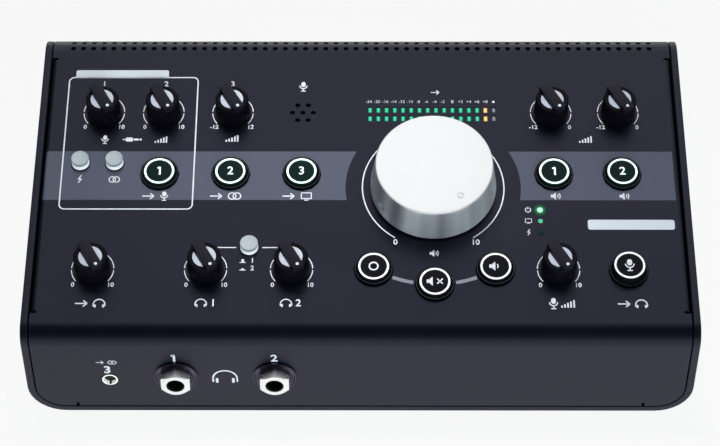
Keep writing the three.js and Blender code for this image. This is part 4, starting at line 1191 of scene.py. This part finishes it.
# Grey links between the three buttons under the volume knob follow their arc
def printLinks(look):
    radius, sweep = volumeSeat.y - middleOf("mute_button", panelFrame).y, look["linkSweep"]
    return [inkArc(volumeSeat.x, volumeSeat.y, radius, turn - 90 - sweep / 2, sweep, look["linkWidth"])
            for turn in (-look["linkTurn"], look["linkTurn"])]


panelMarks = printKnobScales(scaleLook) + printFrame(panelLook) + printPanel(panelLook)
panelMarks += printMeterLabels(meterLook)
inked(panelMarks, panelFrame, "panel_print", "housing", "inkWhite")
inked(printTabs(panelLook), panelFrame, "panel_tabs", "housing", "inkPale")
inked(printLinks(panelLook), panelFrame, "button_links", "housing", "inkLink")
print("panel is printed")

# Marks on the button caps

capMarkLook = {
    "one": (0.3, 0, 5.0, 0.72),
    "number": (0, 0, 5.2, 0.012),
    "mono": (0, 0, 1.7, 0.62, 40),
    "mute": (-0.9, 0, 5.4),
    "dim": (-0.2, 0, 5.4),
    "talk": (0, 0, 5.6),
    "crossLeft": 0.9,
    "crossRight": 3.0,
    "crossRise": 1.1,
    "crossWidth": 0.5,
}


def capMark(kind, look):
    if kind == "1":
        return inkOne(*look["one"])
    if kind in "23":
        return [inkNumber(kind, *look["number"])]
    if kind == "mono":
        return [inkRing(*look["mono"])]
    if kind == "mute":
        cross = [inkBar(look["crossLeft"], -rise, look["crossRight"], rise, look["crossWidth"])
                 for rise in (look["crossRise"], -look["crossRise"])]
        return sign("horn", *look["mute"]) + cross
    if kind == "dim":
        return sign("quietSpeaker", *look["dim"])
    return sign("microphone", *look["talk"])


for name, (body, lit, mark, side) in buttons.items():
    ink = "legendLit" if lit else "inkWhite"
    inked(capMark(mark, capMarkLook), buttonTops[name], name + "_mark", body, ink)
print("caps are marked")

# Front

frontLook = {
    "washer": [(4.9, 0.0), (8.5, 0.0), (8.5, 0.8), (8.35, 1.0), (8.1, 1.0), (7.95, 0.75), (7.75, 0.9),
               (7.45, 1.4), (7.2, 1.4), (7.05, 1.2), (6.95, 1.7), (6.7, 1.7), (6.6, 1.5), (6.5, 2.0),
               (6.25, 2.0), (6.1, 1.8), (5.9, 2.25), (4.9, 2.25)],
    "nutFlats": 11.4,
    "nutFace": 5.2,
    "nutLow": 2.1,
    "nutHigh": 5.2,
    "nutChamfer": 0.9,
    "bore": 3.58,
    "boreDepth": 18,
    "sleevePlay": 0.3,
    "body": ((-7, -7, -24), (7, 7, -1.8)),
    "bodyEdge": 0.4,
    "numberUp": 10.8,
    "numberHeight": 5.6,
    "oneShift": -0.2,
    "oneWidth": 0.9,
    "twoBold": 0.025,
    "signShift": (-0.2, -1.4),
    "signSize": 5,
}


nutLook = {"edge": 0.08, "crown": 0.01, "crownRadius": 1}
sleeveLook = {"inside": 0.1, "wall": 0.35, "shoulder": 0.3, "lip": 0.05, "proud": 0.02, "throat": 0.1}


# Six-sided nut: a hexagon is extruded, a cone takes off its corners, and it is bored
def makeNut(flats, face, low, high, bore, chamfer):
    reach = flats / math.sqrt(3)
    slope = chamfer / (reach - face)
    cone = [(reach + overrun, low - overrun), (reach + overrun, high - chamfer - slope), (face, high),
            (nutLook["crownRadius"], high + nutLook["crown"])]
    nut = cut(turned([(reach, low), (reach, high)], 6), turned(cone, 96), "INTERSECT")
    nut = cut(nut, barrel(bore, low - overrun, high + overrun, 64))
    return rounded(nut, nutLook["edge"], 2, 25)


# Inside of a socket: a dark sleeve with a countersunk mouth
def makeSleeve(radius, low, high, mouth):
    inner, outer = radius - sleeveLook["inside"], radius + sleeveLook["wall"]
    return smooth(ring([
        (inner, low), (outer, low), (outer, high - mouth - sleeveLook["shoulder"]),
        (radius + mouth + sleeveLook["lip"], high - sleeveLook["lip"]),
        (radius + mouth, high + sleeveLook["proud"]), (inner, high - mouth - sleeveLook["throat"]),
    ], 64), 30)


def makeJack(look):
    high = look["nutHigh"]
    washer = smooth(ring(look["washer"], 96), 25)
    nut = makeNut(look["nutFlats"], look["nutFace"], look["nutLow"], high, look["bore"], look["nutChamfer"])
    sleeve = makeSleeve(look["bore"] - look["sleevePlay"], high - look["boreDepth"], high - 0.25, 0.25)
    body = cut(block(*look["body"]), barrel(look["bore"], look["body"][0][2] - overrun, 0, 48))
    return washer, nut, sleeve, rounded(body, look["bodyEdge"], 2)


jackParts = makeJack(frontLook)
for i in (1, 2):
    node = f"headphone_jack_{i}"
    middle = middleOf(node, frontFrame)
    washer, nut, sleeve, body = [copyTo(part, place(frontFrame, middle.x, middle.y)) for part in jackParts]
    finish(washer, f"headphone_collar_{i}", "housing", "socket", "collarBlack")
    finish(nut, f"headphone_nut_{i}", "housing", "chrome", "nickel", node)
    finish(sleeve, f"headphone_sleeve_{i}", "housing", "socket", "boreBlack")
    finish(body, f"headphone_body_{i}", "housing", "socket", "socketBlack")
discard(*jackParts)

miniLook = {
    "ring": [(2.42, -1.45), (3.12, -1.45), (3.12, 0.1), (3.02, 0.2), (2.62, 0.2), (2.52, 0.08)],
    "rim": [(3.06, -0.05), (3.72, -0.05), (3.66, 0.06), (3.06, 0.1)],
    "contact": ((-0.4, -2.95, -1.6), (0.4, -2.3, 0.06)),
    "slot": ((-0.42, -2.75, -2.5), (0.42, 0, 1)),
    "plug": (2.9, -1.9, -1.46, 32),
    "sleeve": (2.05, -11, -1.32, 0.2),
    "body": ((-4, -3, -13), (4, 3, -1.8)),
    "bodyBore": (2.4, -12, 0, 32),
    "bodyEdge": 0.3,
    "numberShift": (-0.6, 5.9),
    "numberHeight": 5.9,
    "numberBold": 0.03,
    "signUp": 10.5,
    "signs": [("arrow", -3.2, 2.9), ("pair", 1.6, 2.6)],
}
miniMiddle = middleOf("mini_jack", frontFrame)
miniSpot = place(frontFrame, miniMiddle.x, miniMiddle.y)
miniRing = smooth(cut(ring(miniLook["ring"]), block(*miniLook["slot"])), 25)
# The ring wears a painted reflection and a painted glow
finish(put(miniRing, miniSpot), "mini_jack_ring", "housing", "chrome", "lipWhiteGlow", "mini_jack")
miniSleeve = joined([makeSleeve(*miniLook["sleeve"]), smooth(ring(miniLook["rim"])),
                     barrel(*miniLook["plug"]), block(*miniLook["contact"])])
finish(put(miniSleeve, miniSpot), "mini_jack_sleeve", "housing", "socket", "boreBlack")
miniBody = rounded(cut(block(*miniLook["body"]), barrel(*miniLook["bodyBore"])), miniLook["bodyEdge"], 2)
finish(put(miniBody, miniSpot), "mini_jack_body", "housing", "socket", "socketBlack")


def printFront(look):
    first, second = [middleOf(f"headphone_jack_{i}", frontFrame) for i in (1, 2)]
    middle = (first + second) / 2
    up, height = look["numberUp"], look["numberHeight"]
    marks = inkOne(first.x + look["oneShift"], first.y + up, height, look["oneWidth"])
    marks.append(inkNumber("2", second.x, second.y + up, height, look["twoBold"]))
    shiftX, shiftY = look["signShift"]
    marks += sign("wideHeadphones", middle.x + shiftX, middle.y + shiftY, look["signSize"])
    shiftX, shiftY = miniLook["numberShift"]
    x, y = miniMiddle.x + shiftX, miniMiddle.y + shiftY
    marks.append(inkNumber("3", x, y, miniLook["numberHeight"], miniLook["numberBold"]))
    for kind, shift, size in miniLook["signs"]:
        marks += sign(kind, miniMiddle.x + shift, miniMiddle.y + miniLook["signUp"], size)
    return marks


inked(printFront(frontLook), frontFrame, "front_print", "housing", "inkWhite")
print("front sockets are fitted")

# Back: sockets, nuts, screws and switch marks

backLook = {
    "nutFlats": 12.0,
    "nutFace": 5.85,
    "nutLow": 0.3,
    "nutBore": 3.5,
    "nutChamfer": 0.5,
    "washer": [(4.9, 0.0), (6.6, 0.0), (6.6, 0.25), (6.4, 0.35), (4.9, 0.35)],
    "sleeve": 3.2,
    "sleeveDepth": 20,
    "lineUps": (8, 24),
    "blockGap": 1.8,
    "blockEdge": 0.4,
    "panelScrews": [(-1, 4.4, 1, 4.6, 20), (1, 4.4, 1, 4.6, 65), (-1, 8.5, -1, 5.0, 40),
                    (1, 8.5, -1, 5.0, 10), (0, 0, 1, 4.6, 30)],
    "comboScrews": [(-1, 15), (1, 50)],
    "screw": [(2.55, 0.0), (2.5, 0.35), (2.1, 0.85), (1.4, 1.15), (0.5, 1.25)],
    "screwSlot": 0.55,
    "slotDepth": 0.75,
    "contact": [(0.95, -8.0), (0.95, -5.4), (0.7, -5.1), (0.3, -5.0)],
    "contactReach": 6.4,
    "contactSunk": 2.6,
    "contactTurns": (-45, 90, 225),
    "comboScrewX": 9.6,
    "comboScrewY": 12.1,
    "comboScrewSunk": 0.6,
    "lever": (6.4, 3.4, 1.3, 0.8),
    "leverEdge": 0.25,
    "leverUp": 12.2,
    "leverSunk": 0.35,
}
plateLevel = spanOf("rear_panel", backFrame)[1].z


# Cross-head screw: a domed head with a recess
def makeScrew(look):
    head = turned(look["screw"], 32)
    top = look["screw"][-1][1]
    half = look["screwSlot"] / 2
    for turn in (0, 90):
        slot = block((-1.5, -half, top - look["slotDepth"]), (1.5, half, top + overrun))
        head = cut(head, put(slot, Matrix.Rotation(math.radians(turn), 4, "Z")))
    return smooth(head, 40)


screw = makeScrew(backLook)


def placeScrews(name, spots):
    finish(joined([copyTo(screw, spot) for spot in spots]), name, "housing", "steel", "blackSteel")


def dressBack(look):
    low, high = spanOf("rear_panel", backFrame)
    middle, half = (low + high) / 2, (high - low) / 2
    spots = []
    # Side and inset across the panel, side and inset up it, and the turn of the recess
    for side, inset, rise, drop, turn in look["panelScrews"]:
        x, y = middle.x + side * (half.x - inset), middle.y + rise * (half.y - drop)
        spots.append(place(backFrame, x, y, plateLevel, turn))
    placeScrews("back_screws", spots)
    flange = []
    contact = smooth(turned(look["contact"], 20), 40)
    for i in (1, 2):
        node = f"combo_jack_{i}"
        x, y, _ = middleOf(node, backFrame)
        top = spanOf(node, backFrame)[1].z
        for side, turn in look["comboScrews"]:
            screwX, screwY = x + side * look["comboScrewX"], y - side * look["comboScrewY"]
            flange.append(place(backFrame, screwX, screwY, top - look["comboScrewSunk"], turn))
        finish(dressed(node, 0.25, 2), f"combo_shell_{i}", "housing", "socket", "socketBlack", node)
        contacts = []
        for turn in look["contactTurns"]:
            aside = look["contactReach"] * math.cos(math.radians(turn))
            rise = look["contactReach"] * math.sin(math.radians(turn))
            spot = place(backFrame, x - aside, y + rise, top - look["contactSunk"])
            contacts.append(copyTo(contact, spot))
        finish(joined(contacts), f"combo_contacts_{i}", "housing", "steel", "brass")
        lever = rounded(roundedPlate(*look["lever"]), look["leverEdge"], 2)
        put(lever, place(backFrame, x, y + look["leverUp"], top - look["leverSunk"]))
        finish(lever, f"combo_lever_{i}", "housing", "steel", "steel")
    discard(contact)
    placeScrews("socket_screws", flange)


def dressLineJacks(look):
    for side in ("in", "a", "b"):
        node = f"line_jack_pair_{side}"
        low, high = spanOf(node, backFrame)
        x = (low.x + high.x) / 2
        nut = makeNut(look["nutFlats"], look["nutFace"], plateLevel + look["nutLow"], high.z, look["nutBore"],
                      look["nutChamfer"])
        washer = smooth(ring(look["washer"]), 25)
        sleeve = makeSleeve(look["sleeve"], high.z - look["sleeveDepth"], high.z - 0.2, 0.22)
        nuts, sleeves = [], []
        for up in look["lineUps"]:
            y = low.y + up
            nuts += [copyTo(nut, place(backFrame, x, y)), copyTo(washer, place(backFrame, x, y, plateLevel))]
            sleeves.append(copyTo(sleeve, place(backFrame, x, y)))
        finish(joined(nuts), f"line_nuts_{side}", "housing", "chrome", "nickel")
        finish(joined(sleeves), f"line_sleeves_{side}", "housing", "socket", "boreBlack")
        discard(nut, washer, sleeve)
        lineBlock = rounded(block(low, (high.x, high.y, plateLevel - look["blockGap"])), look["blockEdge"], 2)
        finish(put(lineBlock, backFrame), f"line_block_{side}", "housing", "socket", "socketBlack", node)


dressBack(backLook)
dressLineJacks(backLook)
for node, name, body, slot, coat, edge, segments in (
    ("usb_socket", "data_socket", "housing", "steel", "steel", 0.2, 2),
    ("power_inlet", "inlet_shell", "housing", "socket", "socketBlack", 0.25, 2),
    ("power_switch_frame", "switch_surround", "housing", "socket", "bezelBlack", 0.35, 3),
    ("power_rocker", "switch_rocker", "power", "socket", "socketBlack", 0.5, 3),
):
    finish(dressed(node, edge, segments), name, body, slot, coat, node)


# Axes of one of the rocker's two slopes
def slopeFrame(side):
    pivot = Vector(joints["power_rock"]["pos_m"])
    slopes = [face for face in nodes["power_rocker"].data.polygons
              if face.normal.y > 0.5 and (face.center.x - pivot.x) * side > 0]
    area = sum(face.area for face in slopes)
    spot = sum((face.center * face.area for face in slopes), Vector()) / area
    out = sum((face.normal * face.area for face in slopes), Vector()).normalized()
    up = Vector((0, 0, 1))
    return frameOf(up.cross(out), up, out, spot)


# The slopes carry a bar and a ring
inked([inkBar(0, -1.5, 0, 1.5, 0.7, 0.1)], slopeFrame(-1), "rocker_on_mark", "power", "inkWhite")
inked([inkRing(0, 0, 1.45, 0.6)], slopeFrame(1), "rocker_off_mark", "power", "inkWhite")


# Middle of a socket across the back, and its lowest and highest edge
def edgesOf(node):
    low, high = spanOf(node, backFrame)
    return (low.x + high.x) / 2, low.y, high.y


backPrintLook = {
    "comboDrop": 3.2,
    "comboHeight": 3.4,
    "arrowDrop": 2.0,
    "lineDrop": 2.2,
    "lineHeight": 3.2,
    "speakerShift": -2,
    "lineShift": 2.6,
    "inletRise": 3.6,
    "inletSigns": [("minus", -6.5), ("plus", 2.2)],
    "inletSize": 2.2,
    "inletRing": 1.5,
    "inletDot": 0.6,
    "inletShift": -2.4,
    "switchRise": 3.2,
    "switchHeight": 3.0,
    "switchWords": [("ON", 5.5), ("OFF", -5.2)],
}


def printBack(look):
    marks = []
    for number, node in (("2", "combo_jack_1"), ("1", "combo_jack_2")):
        x, low, high = edgesOf(node)
        marks.append(inkNumber(number, x, low - look["comboDrop"], look["comboHeight"]))
    x, low, high = edgesOf("line_jack_pair_in")
    marks += sign("arrow", x, low - look["arrowDrop"], look["lineHeight"])
    for number, side in (("1", "a"), ("2", "b")):
        x, low, high = edgesOf(f"line_jack_pair_{side}")
        y = low - look["lineDrop"]
        marks += sign("speaker", x + look["speakerShift"], y, look["lineHeight"])
        marks.append(inkNumber(number, x + look["lineShift"], y, look["lineHeight"]))
    x, low, high = edgesOf("power_inlet")
    y = high + look["inletRise"]
    for kind, shift in look["inletSigns"]:
        marks += sign(kind, x + shift, y, look["inletSize"])
    dotX = x + look["inletShift"]
    marks += [inkRing(dotX, y, look["inletRing"]), inkDisc(dotX, y, look["inletDot"])]
    x, low, high = edgesOf("power_switch_frame")
    for word, shift in look["switchWords"]:
        marks.append(inkNumber(word, x + shift, high + look["switchRise"], look["switchHeight"]))
    return marks


inked(printBack(backPrintLook), place(backFrame, 0, 0, plateLevel), "back_print", "housing", "inkWhite")
discard(screw)
print("back is fitted")

# Floor and light

stageLook = {"floor": 6.0, "white": (0.965, 0.965, 0.965, 1.0), "roughness": 0.9, "plain": 0.94}


def addFloor(look):
    bpy.ops.mesh.primitive_plane_add(size=look["floor"])
    floor = bpy.context.object
    floor.name = "floor"
    coat = Finish("floor_white", Base_Color=look["white"], Roughness=look["roughness"])
    path = coat.tree.nodes.new("ShaderNodeLightPath")
    isCamera, isGlossy, isThrough = [
        Wire(coat.tree, path.outputs[ray])
        for ray in ("Is Camera Ray", "Is Glossy Ray", "Is Transmission Ray")
    ]
    seen = isCamera + isGlossy + isThrough
    glow = coat.node("Emission", {}, {"Color": look["white"], "Strength": 1.0})
    matt = Wire(coat.tree, coat.shader.outputs[0])
    mixed = coat.node("MixShader", {}, {0: seen * look["plain"], 1: matt, 2: glow})
    coat.feed(coat.tree.nodes["Material Output"].inputs["Surface"], mixed)
    floor.data.materials.append(coat.material)
    floor.select_set(False)


skyLook = {
    "sky": 1.28,
    "dark": 0.02,
    "darkSide": (0, -0.665, 0.747),
    "darkEdge": 0.55,
    "darkCore": 0.88,
    "leftFlank": 0.09,
    "rightFlank": 0.4,
    "flankReach": 0.5,
}
lamps = {
    "key_lamp": {
        "kind": "SPOT", "location": (-0.12, 0.3, 1.3), "aim": (-0.01, 0, 0.06),
        "settings": {
            "energy": 78.0, "shadow_soft_size": 0.12, "spot_size": math.radians(14), "spot_blend": 1.0,
        },
    },
    "front_fill": {
        "kind": "AREA", "location": (0.25, -1.4, 0.5), "aim": (0, 0, 0.04),
        "settings": {"energy": 18.0, "size": 1.0, "color": (0.78, 0.92, 1.0)},
    },
}


# A pale sky that is dark where the box's faces mirror it, and dimmer on both flanks
def addWorld(look):
    world = bpy.data.worlds.new("studio")
    world.use_nodes = True
    bpy.context.scene.world = world
    sky = Shading(world.node_tree)
    background = sky.tree.nodes["Background"]
    background.inputs["Color"].default_value = (1, 1, 1, 1)
    spot = sky.node("TexCoord", output="Generated")
    toward = sky.vector("DOT_PRODUCT", spot, look["darkSide"], output=1)
    level = sky.eased(toward, look["darkEdge"], look["darkCore"], look["sky"], look["dark"])
    sideways = sky.vector("DOT_PRODUCT", spot, across, output=1)
    rightPart = sky.eased(sideways, 0.0, look["flankReach"], 1.0, look["rightFlank"])
    leftPart = sky.eased(sideways * -1.0, 0.0, look["flankReach"], 1.0, look["leftFlank"])
    sky.feed(background.inputs["Strength"], level * rightPart * leftPart)


def addLamp(name, look):
    bpy.ops.object.light_add(type=look["kind"], location=look["location"])
    lamp = bpy.context.object
    lamp.name = name
    lamp.visible_glossy = False
    for setting, value in look["settings"].items():
        setattr(lamp.data, setting, value)
    lamp.rotation_mode = "QUATERNION"
    lamp.rotation_quaternion = (Vector(look["aim"]) - lamp.location).to_track_quat("-Z", "Y")
    lamp.select_set(False)


addFloor(stageLook)
addWorld(skyLook)
for name, look in lamps.items():
    addLamp(name, look)
bpy.context.scene.view_settings.view_transform = "Standard"
print("stage is lit")
